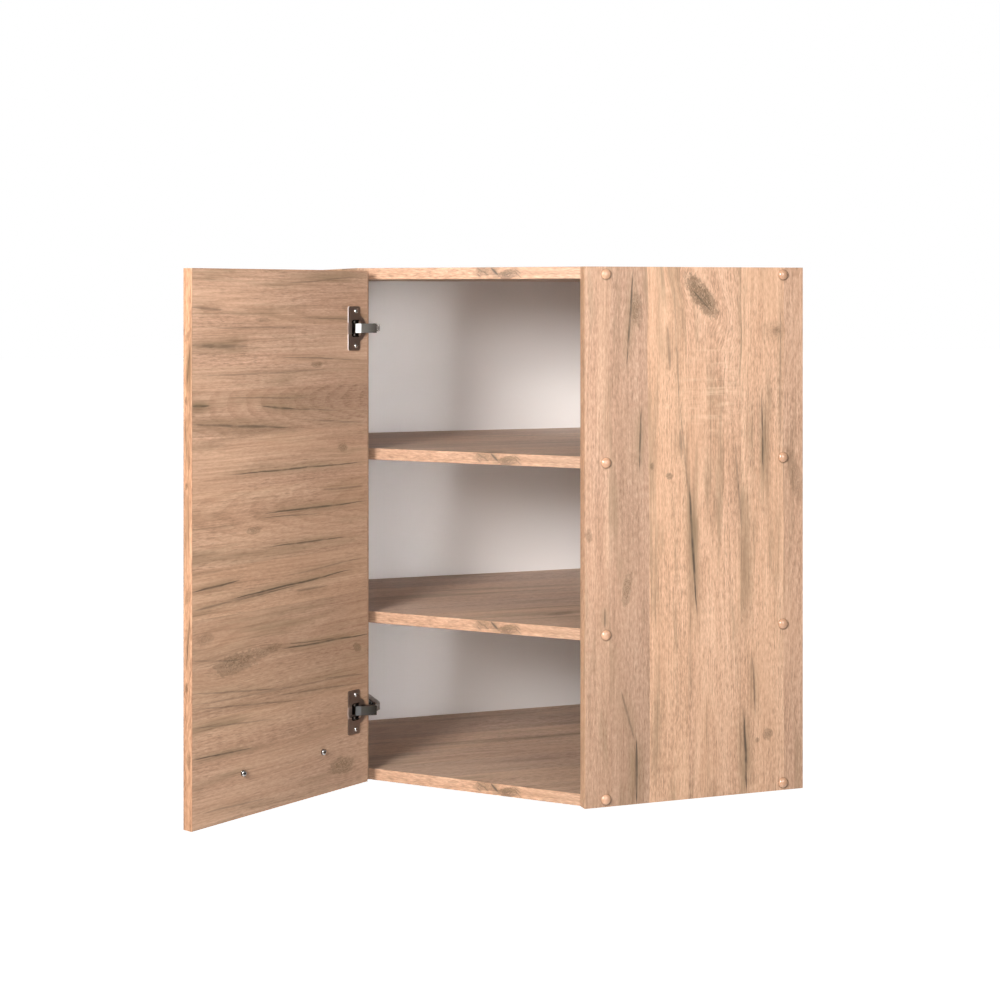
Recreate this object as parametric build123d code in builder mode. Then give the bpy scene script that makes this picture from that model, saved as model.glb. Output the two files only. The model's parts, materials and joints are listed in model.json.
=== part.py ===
"""Corner wall cabinet with a diagonal front: side panels, four horizontals, back sheets and a hinged door.

Millimetres. The two walls of the room are the planes X = 0 and Y = 0, the cabinet stands in -X and -Y, and
Z runs up from its underside. The door is drawn open, as it hangs at rest.
"""

import math
import os

from build123d import *

os.makedirs("parts", exist_ok=True)

# Carcass
HEIGHT = 720.0
LEG_X = 570.0
LEG_Y = 550.0
SIDE_DEPTH_RIGHT = 325.0
BOARD = 16.0
BAND = 1.0
BAND_ROUND = 0.6
UPPER_SHELF_TOP = 466.5
LOWER_SHELF_TOP = 237.0

# Back sheets
SHEET = 3.2
SHEET_INSET = 13.4
GROOVE_DEPTH = 7.0
GROOVE_PLAY = 0.15

# Joining screws and their caps
SCREW_EDGE = 30.6
SCREW_RISE = 10.0
SCREW_SHANK_R = 3.5
SCREW_THREAD_R = 3.0
SCREW_HEAD_R = 4.9
SCREW_HEAD_H = 3.6
SCREW_CONE_H = 1.0
SCREW_SOCKET_R = 2.2
SCREW_LENGTH = 50.0
SCREW_TIP_ROOM = 1.0
CAP_R = 7.0
CAP_H = 4.2
CAP_SHOULDER_R = 3.2
HOLE_PLAY = 0.05
CROSS_LENGTH_SHARE = 1.3
CROSS_WIDTH = 0.9
CROSS_DEPTH = 0.8

# Door
DOOR_GAP_SIDE = 0.43
DOOR_GAP_Z = 3.9
DOOR_GAP_FRONT = 2.0
DOOR_OPEN = 103.7
AXIS_ALONG = -2.8
AXIS_OUT = 15.5

# Concealed hinges
HINGE_TOP_DROP = 84.0
HINGE_LOWER_Z = 105.5
CUP_FROM_EDGE = 22.5
CUP_R = 17.5
CUP_DEPTH = 11.6
CUP_FLOOR = 0.8
CUP_BORE_ROOM = 0.2
RIM_R = 18.6
RIM_H = 0.9
FLANGE_NEAR = 17.0
FLANGE_FAR = 40.0
FLANGE_HALF = 30.5
FLANGE_H = 1.3
FLANGE_CORNER_R = 3.0
MOUTH_LENGTH = 18.0
MOUTH_WIDTH = 21.0
MOUTH_DEPTH = 1.2
MOUTH_CORNER_R = 2.5
MOUTH_SHIFT = 1.5
SLOT_HALF = 6.9
SLOT_REACH = 16.4
CUP_SCREW_FROM_EDGE = 25.0
CUP_SCREW_HALF = 24.0
CUP_SCREW_R = 1.7
CUP_SCREW_LENGTH = 12.6
CUP_SCREW_HEAD_R = 3.3
CUP_SCREW_HEAD_RISE = 0.4
PILOT_ROOM = 0.4
ARM_PIVOT = (16.5, -2.5)
CUP_PIVOT = (17.0, -3.4)
PIN_R = 1.5
PIN_PLAY = 0.15
PIN_PROUD = 0.1
STUB_BITE = 2.6
LINK_HALF = 3.0
SWING_HALF_Z = 2.8
CHEEK_GAP = 0.3
ARM_WALL = 1.4
CUP_LINK_WALL = 1.5
WEB_OFFSET = 3.6
ARM_LENGTH = 66.0
ARM_HALF = 3.5
ARM_NOSE = 10.0
ARM_BODY_START = 7.0
ARM_SCREW_HALF = 7.0
ARM_SCREW_R = 2.0
ARM_SCREW_LENGTH = 8.0
ARM_SCREW_HEAD_R = 3.6
ARM_SCREW_HEAD_H = 1.8
ARM_SCREW_PLAY = 0.5
PLATE_SCREW_FROM_EDGE = 37.0
PLATE_SCREW_HALF = 16.0
PLATE_SCREW_R = 2.0
PLATE_SCREW_LENGTH = 13.0
PLATE_SCREW_HEAD_R = 4.4
PLATE_SCREW_HEAD_H = 2.2
PLATE_BASE = 1.6
PLATE_WIDTH = 16.0
PLATE_END = 7.0
PLATE_BLOCK_LEAD = 18.0
PLATE_BLOCK_LENGTH = 34.0

# Handle
HANDLE_PITCH = 147.0
HANDLE_RISE = 57.5
HANDLE_REACH = 28.0
HANDLE_BAR_R = 5.0
HANDLE_POST_R = 4.0
HANDLE_OVERHANG = 14.0
HANDLE_SCREW_R = 2.0
HANDLE_SCREW_HEAD_R = 4.2
HANDLE_SCREW_HEAD_H = 2.2
HANDLE_SCREW_BITE = 9.0
HANDLE_BORE_ROOM = 1.0

# Wall hangers
HANGER_STEEL = 2.0
HANGER_HEIGHT = 46.0
HANGER_WIDTH = 40.0
HANGER_TOP_GAP = 8.0
HANGER_EYE_R = 5.0
HANGER_SETBACK = 0.5
HANGER_EYE_SHARE = 0.6
HANGER_SCREW_SHARES = (0.25, 0.75)
HANGER_SCREW_R = 1.55
HANGER_SCREW_LENGTH = 13.0
HANGER_SCREW_HEAD_R = 3.0
HANGER_SCREW_HEAD_H = 1.6

LOW = (Align.MIN, Align.MIN, Align.MIN)
ON_END = (Align.CENTER, Align.CENTER, Align.MIN)

# Plan of the carcass
RIGHT_IN = BOARD - LEG_Y
LEFT_IN = BOARD - LEG_X
RIGHT_FRONT = -SIDE_DEPTH_RIGHT
LEFT_FRONT = -(LEG_Y - BOARD) + (RIGHT_FRONT - LEFT_IN)
SHEET_FACE = -(SHEET_INSET + SHEET)
BAND_DIAGONAL = BAND * math.sqrt(2.0)
SHELF_TOPS = [BOARD, LOWER_SHELF_TOP, UPPER_SHELF_TOP, HEIGHT]
SCREW_LEVELS = [SCREW_RISE, LOWER_SHELF_TOP - BOARD / 2, UPPER_SHELF_TOP - BOARD / 2, HEIGHT - SCREW_RISE]

# Plan of the door: x runs along the closed door from its hinge edge, y into the cabinet from its inner face
OPENING = math.hypot(RIGHT_FRONT - LEFT_IN, RIGHT_IN - LEFT_FRONT)
ALONG = (math.sqrt(0.5), -math.sqrt(0.5))
INTO = (math.sqrt(0.5), math.sqrt(0.5))
DOOR_WIDTH = OPENING - 2 * DOOR_GAP_SIDE
DOOR_HEIGHT = HEIGHT - 2 * DOOR_GAP_Z
HINGE_UPPER_Z = HEIGHT - HINGE_TOP_DROP
PLATE_RISE = (HINGE_LOWER_Z, HINGE_UPPER_Z)


def closed(x, y):
    """Plan position of a point of the closed door."""
    along = x + DOOR_GAP_SIDE
    into = y - DOOR_GAP_FRONT
    return (
        LEFT_IN + along * ALONG[0] + into * INTO[0],
        LEFT_FRONT + along * ALONG[1] + into * INTO[1],
    )


def swung(point):
    """Plan position that a point of the closed door takes when the door is open."""
    turn = math.radians(-DOOR_OPEN)
    dx = point[0] - AXIS[0]
    dy = point[1] - AXIS[1]
    return (
        AXIS[0] + dx * math.cos(turn) - dy * math.sin(turn),
        AXIS[1] + dx * math.sin(turn) + dy * math.cos(turn),
    )


def upright(origin, z, towards):
    """Level workplane at a plan position and height, its x axis pointing at a second plan position."""
    direction = (towards[0] - origin[0], towards[1] - origin[1], 0)
    return Plane(origin=(origin[0], origin[1], z), x_dir=direction, z_dir=(0, 0, 1))


def cross_recess(head_r):
    """Cross recess cut into a screw head at the current locations, which lie on the head's outer face."""
    length = CROSS_LENGTH_SHARE * head_r
    Box(length, CROSS_WIDTH, 2 * CROSS_DEPTH, mode=Mode.SUBTRACT)
    Box(CROSS_WIDTH, length, 2 * CROSS_DEPTH, mode=Mode.SUBTRACT)


AXIS = closed(AXIS_ALONG, -AXIS_OUT)
DOOR_PLANE = upright(swung(closed(0, 0)), DOOR_GAP_Z, swung(closed(1, 0)))
ARM_POINT = closed(*ARM_PIVOT)
CUP_POINT = swung(closed(*CUP_PIVOT))
MIDDLE_POINT = (ARM_POINT[0] + CUP_POINT[0] - AXIS[0], ARM_POINT[1] + CUP_POINT[1] - AXIS[1])
LINK_LENGTH = math.dist(ARM_POINT, MIDDLE_POINT)
CUP_LINK_LENGTH = math.dist(CUP_POINT, MIDDLE_POINT)
ARM_IN = SWING_HALF_Z + CHEEK_GAP
ARM_OUT = ARM_IN + ARM_WALL
CUP_LINK_IN = ARM_OUT + CHEEK_GAP
CUP_LINK_OUT = CUP_LINK_IN + CUP_LINK_WALL
PANEL_REACH = ARM_POINT[0] - LEFT_IN
PLATE_SCREW_X = LEFT_FRONT + PLATE_SCREW_FROM_EDGE - ARM_POINT[1]
HANGER_Z = HEIGHT - BOARD - HANGER_TOP_GAP - HANGER_HEIGHT
HANGER_LEVELS = [HANGER_Z + HANGER_HEIGHT * share for share in HANGER_SCREW_SHARES]
HANGER_PILOT = 2 * (HANGER_SCREW_LENGTH - HANGER_STEEL + PILOT_ROOM)

# Side panels, with the screw holes, the groove of the back sheet and the hinge plate's pilot holes
with BuildPart() as side_panel_right:
    with Locations((RIGHT_FRONT + BAND, -LEG_Y, 0)):
        Box(SIDE_DEPTH_RIGHT - BAND, BOARD, HEIGHT, align=LOW)
    with Locations((SHEET_FACE - GROOVE_PLAY, RIGHT_IN - GROOVE_DEPTH - GROOVE_PLAY, BOARD - GROOVE_DEPTH)):
        Box(
            SHEET + 2 * GROOVE_PLAY,
            GROOVE_DEPTH + GROOVE_PLAY,
            HEIGHT - 2 * BOARD + 2 * GROOVE_DEPTH,
            align=LOW,
            mode=Mode.SUBTRACT,
        )
    right_holes = [(x, -LEG_Y, z) for x in (RIGHT_FRONT + SCREW_EDGE, -SCREW_EDGE) for z in SCREW_LEVELS]
    with Locations(*right_holes):
        Cylinder(SCREW_HEAD_R + HOLE_PLAY, 2 * SCREW_HEAD_H, rotation=(90, 0, 0), mode=Mode.SUBTRACT)
        Cylinder(SCREW_SHANK_R + HOLE_PLAY, 4 * BOARD, rotation=(90, 0, 0), mode=Mode.SUBTRACT)
    with Locations(*[(-SHEET_INSET / 2, RIGHT_IN, z) for z in HANGER_LEVELS]):
        Cylinder(HANGER_SCREW_R + HOLE_PLAY, HANGER_PILOT, rotation=(90, 0, 0), mode=Mode.SUBTRACT)
side_panel_right.part.label = "side_panel_right"
export_step(side_panel_right.part, "parts/side_panel_right.step")

with BuildPart() as side_panel_left:
    with Locations((-LEG_X, LEFT_FRONT + BAND, 0)):
        Box(BOARD, -LEFT_FRONT - BAND, HEIGHT, align=LOW)
    with Locations((LEFT_IN - GROOVE_DEPTH - GROOVE_PLAY, SHEET_FACE - GROOVE_PLAY, BOARD - GROOVE_DEPTH)):
        Box(
            GROOVE_DEPTH + GROOVE_PLAY,
            SHEET + 2 * GROOVE_PLAY,
            HEIGHT - 2 * BOARD + 2 * GROOVE_DEPTH,
            align=LOW,
            mode=Mode.SUBTRACT,
        )
    left_holes = [(-LEG_X, y, z) for y in (LEFT_FRONT + SCREW_EDGE, -SCREW_EDGE) for z in SCREW_LEVELS]
    with Locations(*left_holes):
        Cylinder(SCREW_HEAD_R + HOLE_PLAY, 2 * SCREW_HEAD_H, rotation=(0, 90, 0), mode=Mode.SUBTRACT)
        Cylinder(SCREW_SHANK_R + HOLE_PLAY, 4 * BOARD, rotation=(0, 90, 0), mode=Mode.SUBTRACT)
    with Locations(*[(LEFT_IN, -SHEET_INSET / 2, z) for z in HANGER_LEVELS]):
        Cylinder(HANGER_SCREW_R + HOLE_PLAY, HANGER_PILOT, rotation=(0, 90, 0), mode=Mode.SUBTRACT)
    plate_pilots = [
        (LEFT_IN, LEFT_FRONT + PLATE_SCREW_FROM_EDGE, z + side)
        for z in PLATE_RISE
        for side in (-PLATE_SCREW_HALF, PLATE_SCREW_HALF)
    ]
    with Locations(*plate_pilots):
        plate_pilot = 2 * (PLATE_SCREW_LENGTH - PLATE_BASE + PILOT_ROOM)
        Cylinder(PLATE_SCREW_R + HOLE_PLAY, plate_pilot, rotation=(0, 90, 0), mode=Mode.SUBTRACT)
side_panel_left.part.label = "side_panel_left"
export_step(side_panel_left.part, "parts/side_panel_left.step")

# Five-sided horizontals: top and bottom reach the walls, the shelves stop at the back sheets
full_plan = [
    (LEFT_IN, LEFT_FRONT + BAND_DIAGONAL),
    (RIGHT_FRONT + BAND_DIAGONAL, RIGHT_IN),
    (0, RIGHT_IN),
    (0, 0),
    (LEFT_IN, 0),
]
shelf_plan = [
    (LEFT_IN, LEFT_FRONT + BAND_DIAGONAL),
    (RIGHT_FRONT + BAND_DIAGONAL, RIGHT_IN),
    (SHEET_FACE, RIGHT_IN),
    (SHEET_FACE, SHEET_FACE),
    (LEFT_IN, SHEET_FACE),
]
edge_x = [RIGHT_FRONT + SCREW_EDGE, -SCREW_EDGE]
edge_y = [LEFT_FRONT + SCREW_EDGE, -SCREW_EDGE]
bite = 2 * (SCREW_LENGTH - BOARD + SCREW_TIP_ROOM)

with BuildPart() as top_panel:
    with BuildSketch(Plane.XY.offset(HEIGHT - BOARD)):
        Polygon(*full_plan, align=None)
    extrude(amount=BOARD)
    with Locations((SHEET_FACE - GROOVE_PLAY, RIGHT_IN, HEIGHT - BOARD)):
        Box(
            SHEET + 2 * GROOVE_PLAY,
            -RIGHT_IN - SHEET_INSET + GROOVE_PLAY,
            GROOVE_DEPTH,
            align=LOW,
            mode=Mode.SUBTRACT,
        )
    with Locations((LEFT_IN, SHEET_FACE - GROOVE_PLAY, HEIGHT - BOARD)):
        Box(
            -LEFT_IN - SHEET_INSET + GROOVE_PLAY,
            SHEET + 2 * GROOVE_PLAY,
            GROOVE_DEPTH,
            align=LOW,
            mode=Mode.SUBTRACT,
        )
    with Locations(*[(x, RIGHT_IN, SCREW_LEVELS[3]) for x in edge_x]):
        Cylinder(SCREW_THREAD_R + HOLE_PLAY, bite, rotation=(90, 0, 0), mode=Mode.SUBTRACT)
    with Locations(*[(LEFT_IN, y, SCREW_LEVELS[3]) for y in edge_y]):
        Cylinder(SCREW_THREAD_R + HOLE_PLAY, bite, rotation=(0, 90, 0), mode=Mode.SUBTRACT)
top_panel.part.label = "top_panel"
export_step(top_panel.part, "parts/top_panel.step")

with BuildPart() as bottom_panel:
    with BuildSketch(Plane.XY):
        Polygon(*full_plan, align=None)
    extrude(amount=BOARD)
    with Locations((SHEET_FACE - GROOVE_PLAY, RIGHT_IN, BOARD - GROOVE_DEPTH)):
        Box(
            SHEET + 2 * GROOVE_PLAY,
            -RIGHT_IN - SHEET_INSET + GROOVE_PLAY,
            GROOVE_DEPTH,
            align=LOW,
            mode=Mode.SUBTRACT,
        )
    with Locations((LEFT_IN, SHEET_FACE - GROOVE_PLAY, BOARD - GROOVE_DEPTH)):
        Box(
            -LEFT_IN - SHEET_INSET + GROOVE_PLAY,
            SHEET + 2 * GROOVE_PLAY,
            GROOVE_DEPTH,
            align=LOW,
            mode=Mode.SUBTRACT,
        )
    with Locations(*[(x, RIGHT_IN, SCREW_LEVELS[0]) for x in edge_x]):
        Cylinder(SCREW_THREAD_R + HOLE_PLAY, bite, rotation=(90, 0, 0), mode=Mode.SUBTRACT)
    with Locations(*[(LEFT_IN, y, SCREW_LEVELS[0]) for y in edge_y]):
        Cylinder(SCREW_THREAD_R + HOLE_PLAY, bite, rotation=(0, 90, 0), mode=Mode.SUBTRACT)
bottom_panel.part.label = "bottom_panel"
export_step(bottom_panel.part, "parts/bottom_panel.step")

with BuildPart() as shelf_upper:
    with BuildSketch(Plane.XY.offset(UPPER_SHELF_TOP - BOARD)):
        Polygon(*shelf_plan, align=None)
    extrude(amount=BOARD)
    with Locations(*[(x, RIGHT_IN, SCREW_LEVELS[2]) for x in edge_x]):
        Cylinder(SCREW_THREAD_R + HOLE_PLAY, bite, rotation=(90, 0, 0), mode=Mode.SUBTRACT)
    with Locations(*[(LEFT_IN, y, SCREW_LEVELS[2]) for y in edge_y]):
        Cylinder(SCREW_THREAD_R + HOLE_PLAY, bite, rotation=(0, 90, 0), mode=Mode.SUBTRACT)
shelf_upper.part.label = "shelf_upper"
export_step(shelf_upper.part, "parts/shelf_upper.step")

with BuildPart() as shelf_lower:
    with BuildSketch(Plane.XY.offset(LOWER_SHELF_TOP - BOARD)):
        Polygon(*shelf_plan, align=None)
    extrude(amount=BOARD)
    with Locations(*[(x, RIGHT_IN, SCREW_LEVELS[1]) for x in edge_x]):
        Cylinder(SCREW_THREAD_R + HOLE_PLAY, bite, rotation=(90, 0, 0), mode=Mode.SUBTRACT)
    with Locations(*[(LEFT_IN, y, SCREW_LEVELS[1]) for y in edge_y]):
        Cylinder(SCREW_THREAD_R + HOLE_PLAY, bite, rotation=(0, 90, 0), mode=Mode.SUBTRACT)
shelf_lower.part.label = "shelf_lower"
export_step(shelf_lower.part, "parts/shelf_lower.step")

# Back sheets, sitting in the grooves; the left one butts against the right one in the corner
sheet_z = BOARD - GROOVE_DEPTH + GROOVE_PLAY
sheet_height = HEIGHT - 2 * sheet_z
with BuildPart() as back_sheet_right:
    with Locations((SHEET_FACE, RIGHT_IN - GROOVE_DEPTH, sheet_z)):
        Box(SHEET, -RIGHT_IN + GROOVE_DEPTH - SHEET_INSET, sheet_height, align=LOW)
back_sheet_right.part.label = "back_sheet_right"
export_step(back_sheet_right.part, "parts/back_sheet_right.step")

with BuildPart() as back_sheet_left:
    with Locations((LEFT_IN - GROOVE_DEPTH, SHEET_FACE, sheet_z)):
        Box(-LEFT_IN + GROOVE_DEPTH + SHEET_FACE, SHEET, sheet_height, align=LOW)
back_sheet_left.part.label = "back_sheet_left"
export_step(back_sheet_left.part, "parts/back_sheet_left.step")

# Edge bands on the front edges
with BuildPart() as edge_bands_diagonal:
    for shelf_top in SHELF_TOPS:
        with BuildSketch(Plane.XY.offset(shelf_top - BOARD)):
            Polygon(
                (LEFT_IN, LEFT_FRONT),
                (RIGHT_FRONT, RIGHT_IN),
                (RIGHT_FRONT + BAND_DIAGONAL, RIGHT_IN),
                (LEFT_IN, LEFT_FRONT + BAND_DIAGONAL),
                align=None,
            )
        extrude(amount=BOARD)
    along_axis = Axis((0, 0, 0), (*ALONG, 0))
    into_axis = Axis((0, 0, 0), (*INTO, 0))
    fillet(edge_bands_diagonal.edges().filter_by(along_axis).group_by(into_axis)[0], BAND_ROUND)
edge_bands_diagonal.part.label = "edge_bands_diagonal"
export_step(edge_bands_diagonal.part, "parts/edge_bands_diagonal.step")

with BuildPart() as edge_band_right:
    with Locations((RIGHT_FRONT, -LEG_Y, 0)):
        Box(BAND, BOARD, HEIGHT, align=LOW)
    fillet(edge_band_right.edges().filter_by(Axis.Z).group_by(Axis.X)[0], BAND_ROUND)
edge_band_right.part.label = "edge_band_right"
export_step(edge_band_right.part, "parts/edge_band_right.step")

with BuildPart() as edge_band_left:
    with Locations((-LEG_X, LEFT_FRONT, 0)):
        Box(BOARD, BAND, HEIGHT, align=LOW)
    fillet(edge_band_left.edges().filter_by(Axis.Z).group_by(Axis.Y)[0], BAND_ROUND)
edge_band_left.part.label = "edge_band_left"
export_step(edge_band_left.part, "parts/edge_band_left.step")

# Joining screws through the side panels, and the rounded caps over their heads
right_planes = [
    Plane(origin=(x, -LEG_Y, z), x_dir=(1, 0, 0), z_dir=(0, 1, 0)) for x in edge_x for z in SCREW_LEVELS
]
left_planes = [
    Plane(origin=(-LEG_X, y, z), x_dir=(0, 1, 0), z_dir=(1, 0, 0)) for y in edge_y for z in SCREW_LEVELS
]
with BuildPart() as joining_screws:
    with BuildSketch(*right_planes, *left_planes):
        Circle(SCREW_HEAD_R)
        RegularPolygon(SCREW_SOCKET_R, 6, mode=Mode.SUBTRACT)
    extrude(amount=SCREW_HEAD_H - SCREW_CONE_H)
    with Locations(*right_planes, *left_planes):
        with Locations((0, 0, SCREW_HEAD_H - SCREW_CONE_H)):
            Cone(SCREW_HEAD_R, SCREW_SHANK_R, SCREW_CONE_H, align=ON_END)
        with Locations((0, 0, SCREW_HEAD_H)):
            Cylinder(SCREW_SHANK_R, BOARD - SCREW_HEAD_H, align=ON_END)
        with Locations((0, 0, BOARD)):
            Cylinder(SCREW_THREAD_R, SCREW_LENGTH - BOARD, align=ON_END)
joining_screws.part.label = "joining_screws"
export_step(joining_screws.part, "parts/joining_screws.step")

with BuildPart() as screw_caps:
    with Locations(*[plane.offset(-CAP_H / 2) for plane in (*right_planes, *left_planes)]):
        Cylinder(CAP_R, CAP_H)
    rims = screw_caps.edges().filter_by(GeomType.CIRCLE)
    fillet(rims.group_by(Axis.Y)[0] + rims.group_by(Axis.X)[0], CAP_SHOULDER_R)
screw_caps.part.label = "screw_caps"
export_step(screw_caps.part, "parts/screw_caps.step")

# Door board with the bores for the hinge cups and the handle screws, and its four edge bands
cup_pilots = [(z - DOOR_GAP_Z + side) for z in PLATE_RISE for side in (-CUP_SCREW_HALF, CUP_SCREW_HALF)]
handle_x = [DOOR_WIDTH / 2 - HANDLE_PITCH / 2, DOOR_WIDTH / 2 + HANDLE_PITCH / 2]
with BuildPart(DOOR_PLANE) as door_panel:
    with Locations((BAND, -BOARD, BAND)):
        Box(DOOR_WIDTH - 2 * BAND, BOARD, DOOR_HEIGHT - 2 * BAND, align=LOW)
    with Locations(*[(CUP_FROM_EDGE, 0, z - DOOR_GAP_Z) for z in PLATE_RISE]):
        Cylinder(CUP_R + HOLE_PLAY, 2 * (CUP_DEPTH + CUP_BORE_ROOM), rotation=(90, 0, 0), mode=Mode.SUBTRACT)
    with Locations(*[(CUP_SCREW_FROM_EDGE, 0, z) for z in cup_pilots]):
        cup_pilot = 2 * (CUP_SCREW_LENGTH + PILOT_ROOM)
        Cylinder(CUP_SCREW_R + HOLE_PLAY, cup_pilot, rotation=(90, 0, 0), mode=Mode.SUBTRACT)
    with Locations(*[(x, 0, HANDLE_RISE) for x in handle_x]):
        Cylinder(HANDLE_SCREW_R + HOLE_PLAY, 4 * BOARD, rotation=(90, 0, 0), mode=Mode.SUBTRACT)
door_panel.part.label = "door_panel"
export_step(door_panel.part, "parts/door_panel.step")

with BuildPart(DOOR_PLANE) as door_bands_upright:
    with Locations((0, -BOARD, 0), (DOOR_WIDTH - BAND, -BOARD, 0)):
        Box(BAND, BOARD, DOOR_HEIGHT, align=LOW)
    door_axis = Axis(DOOR_PLANE.origin, DOOR_PLANE.x_dir)
    upright_edges = door_bands_upright.edges().filter_by(Axis.Z).group_by(door_axis)
    fillet(upright_edges[0] + upright_edges[-1], BAND_ROUND)
door_bands_upright.part.label = "door_bands_upright"
export_step(door_bands_upright.part, "parts/door_bands_upright.step")

with BuildPart(DOOR_PLANE) as door_bands_level:
    with Locations((BAND, -BOARD, 0), (BAND, -BOARD, DOOR_HEIGHT - BAND)):
        Box(DOOR_WIDTH - 2 * BAND, BOARD, BAND, align=LOW)
    level_edges = door_bands_level.edges().filter_by(door_axis).group_by(Axis.Z)
    fillet(level_edges[0] + level_edges[-1], BAND_ROUND)
door_bands_level.part.label = "door_bands_level"
export_step(door_bands_level.part, "parts/door_bands_level.step")

# Concealed hinges. Each is a parallelogram: the swing link turns with the door about the arm's pin, the cup
# link keeps its direction, and the door turns about an axis at its outer corner that has no pin of its own.
door_corner = swung(closed(0, 0))
door_far = swung(closed(1, 0))
door_into = swung(closed(0, 1))
FACE_X = (door_far[0] - door_corner[0], door_far[1] - door_corner[1], 0)
FACE_Z = (door_into[0] - door_corner[0], door_into[1] - door_corner[1], 0)
CAVITY = CUP_DEPTH - CUP_FLOOR
ARM_BODY = ARM_LENGTH - ARM_BODY_START
ARM_SCREW_XS = (PLATE_SCREW_X - ARM_SCREW_HALF, PLATE_SCREW_X + ARM_SCREW_HALF)
for level, hinge_z in (("lower", HINGE_LOWER_Z), ("upper", HINGE_UPPER_Z)):
    face = Plane(origin=(door_corner[0], door_corner[1], hinge_z), x_dir=FACE_X, z_dir=FACE_Z)
    with BuildPart(face) as hinge_cup:
        with Locations((CUP_FROM_EDGE, 0, -CUP_DEPTH)):
            Cylinder(CUP_R, CUP_DEPTH, align=ON_END)
        with Locations((CUP_FROM_EDGE, 0, 0)):
            Cylinder(RIM_R, RIM_H, align=ON_END)
        with BuildSketch(face):
            with Locations(((FLANGE_NEAR + FLANGE_FAR) / 2, 0)):
                RectangleRounded(FLANGE_FAR - FLANGE_NEAR, 2 * FLANGE_HALF, FLANGE_CORNER_R)
        extrude(amount=FLANGE_H)
        with BuildSketch(face.offset(-CAVITY)):
            with Locations((CUP_FROM_EDGE, 0)):
                Circle(SLOT_REACH)
                Rectangle(4 * CUP_R, 2 * SLOT_HALF, mode=Mode.INTERSECT)
        extrude(amount=CAVITY + 2 * FLANGE_H, mode=Mode.SUBTRACT)
        with BuildSketch(face.offset(-MOUTH_DEPTH)):
            with Locations((CUP_FROM_EDGE + MOUTH_SHIFT, 0)):
                RectangleRounded(MOUTH_LENGTH, MOUTH_WIDTH, MOUTH_CORNER_R)
        extrude(amount=MOUTH_DEPTH + 2 * FLANGE_H, mode=Mode.SUBTRACT)
        with Locations((CUP_PIVOT[0], 0, CUP_PIVOT[1])):
            stub_bore = 2 * (SLOT_HALF + STUB_BITE + PIN_PROUD)
            Cylinder(PIN_R + HOLE_PLAY, stub_bore, rotation=(90, 0, 0), mode=Mode.SUBTRACT)
        with Locations((CUP_SCREW_FROM_EDGE, -CUP_SCREW_HALF, 0), (CUP_SCREW_FROM_EDGE, CUP_SCREW_HALF, 0)):
            Cylinder(CUP_SCREW_R + 2 * HOLE_PLAY, 6 * FLANGE_H, mode=Mode.SUBTRACT)
            Cylinder(CUP_SCREW_HEAD_R + 2 * HOLE_PLAY, 6 * FLANGE_H, align=ON_END, mode=Mode.SUBTRACT)
    hinge_cup.part.label = "hinge_cup_" + level
    export_step(hinge_cup.part, f"parts/hinge_cup_{level}.step")

    link_plane = upright(CUP_POINT, hinge_z, MIDDLE_POINT)
    with BuildPart(link_plane) as hinge_cup_link:
        for base in (CUP_LINK_IN, -CUP_LINK_OUT):
            with BuildSketch(link_plane.offset(base)):
                with Locations((CUP_LINK_LENGTH / 2, 0)):
                    SlotCenterToCenter(CUP_LINK_LENGTH, 2 * LINK_HALF)
                with Locations((-LINK_HALF, -WEB_OFFSET - CUP_LINK_WALL)):
                    Rectangle(
                        CUP_LINK_LENGTH + 2 * LINK_HALF,
                        WEB_OFFSET + CUP_LINK_WALL,
                        align=(Align.MIN, Align.MIN),
                    )
                with Locations((0, 0), (CUP_LINK_LENGTH, 0)):
                    Circle(PIN_R + PIN_PLAY, mode=Mode.SUBTRACT)
            extrude(amount=CUP_LINK_WALL)
        with Locations((-LINK_HALF, -WEB_OFFSET - CUP_LINK_WALL, -CUP_LINK_OUT)):
            Box(CUP_LINK_LENGTH + 2 * LINK_HALF, CUP_LINK_WALL, 2 * CUP_LINK_OUT, align=LOW)
    hinge_cup_link.part.label = "hinge_cup_link_" + level
    export_step(hinge_cup_link.part, f"parts/hinge_cup_link_{level}.step")

    swing_plane = upright(ARM_POINT, hinge_z, MIDDLE_POINT)
    with BuildPart(swing_plane) as hinge_swing_link:
        with BuildSketch(swing_plane.offset(-SWING_HALF_Z)):
            with Locations((LINK_LENGTH / 2, 0)):
                SlotCenterToCenter(LINK_LENGTH, 2 * LINK_HALF)
            with Locations((0, 0), (LINK_LENGTH, 0)):
                Circle(PIN_R + PIN_PLAY, mode=Mode.SUBTRACT)
        extrude(amount=2 * SWING_HALF_Z)
    hinge_swing_link.part.label = "hinge_swing_link_" + level
    export_step(hinge_swing_link.part, f"parts/hinge_swing_link_{level}.step")

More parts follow.
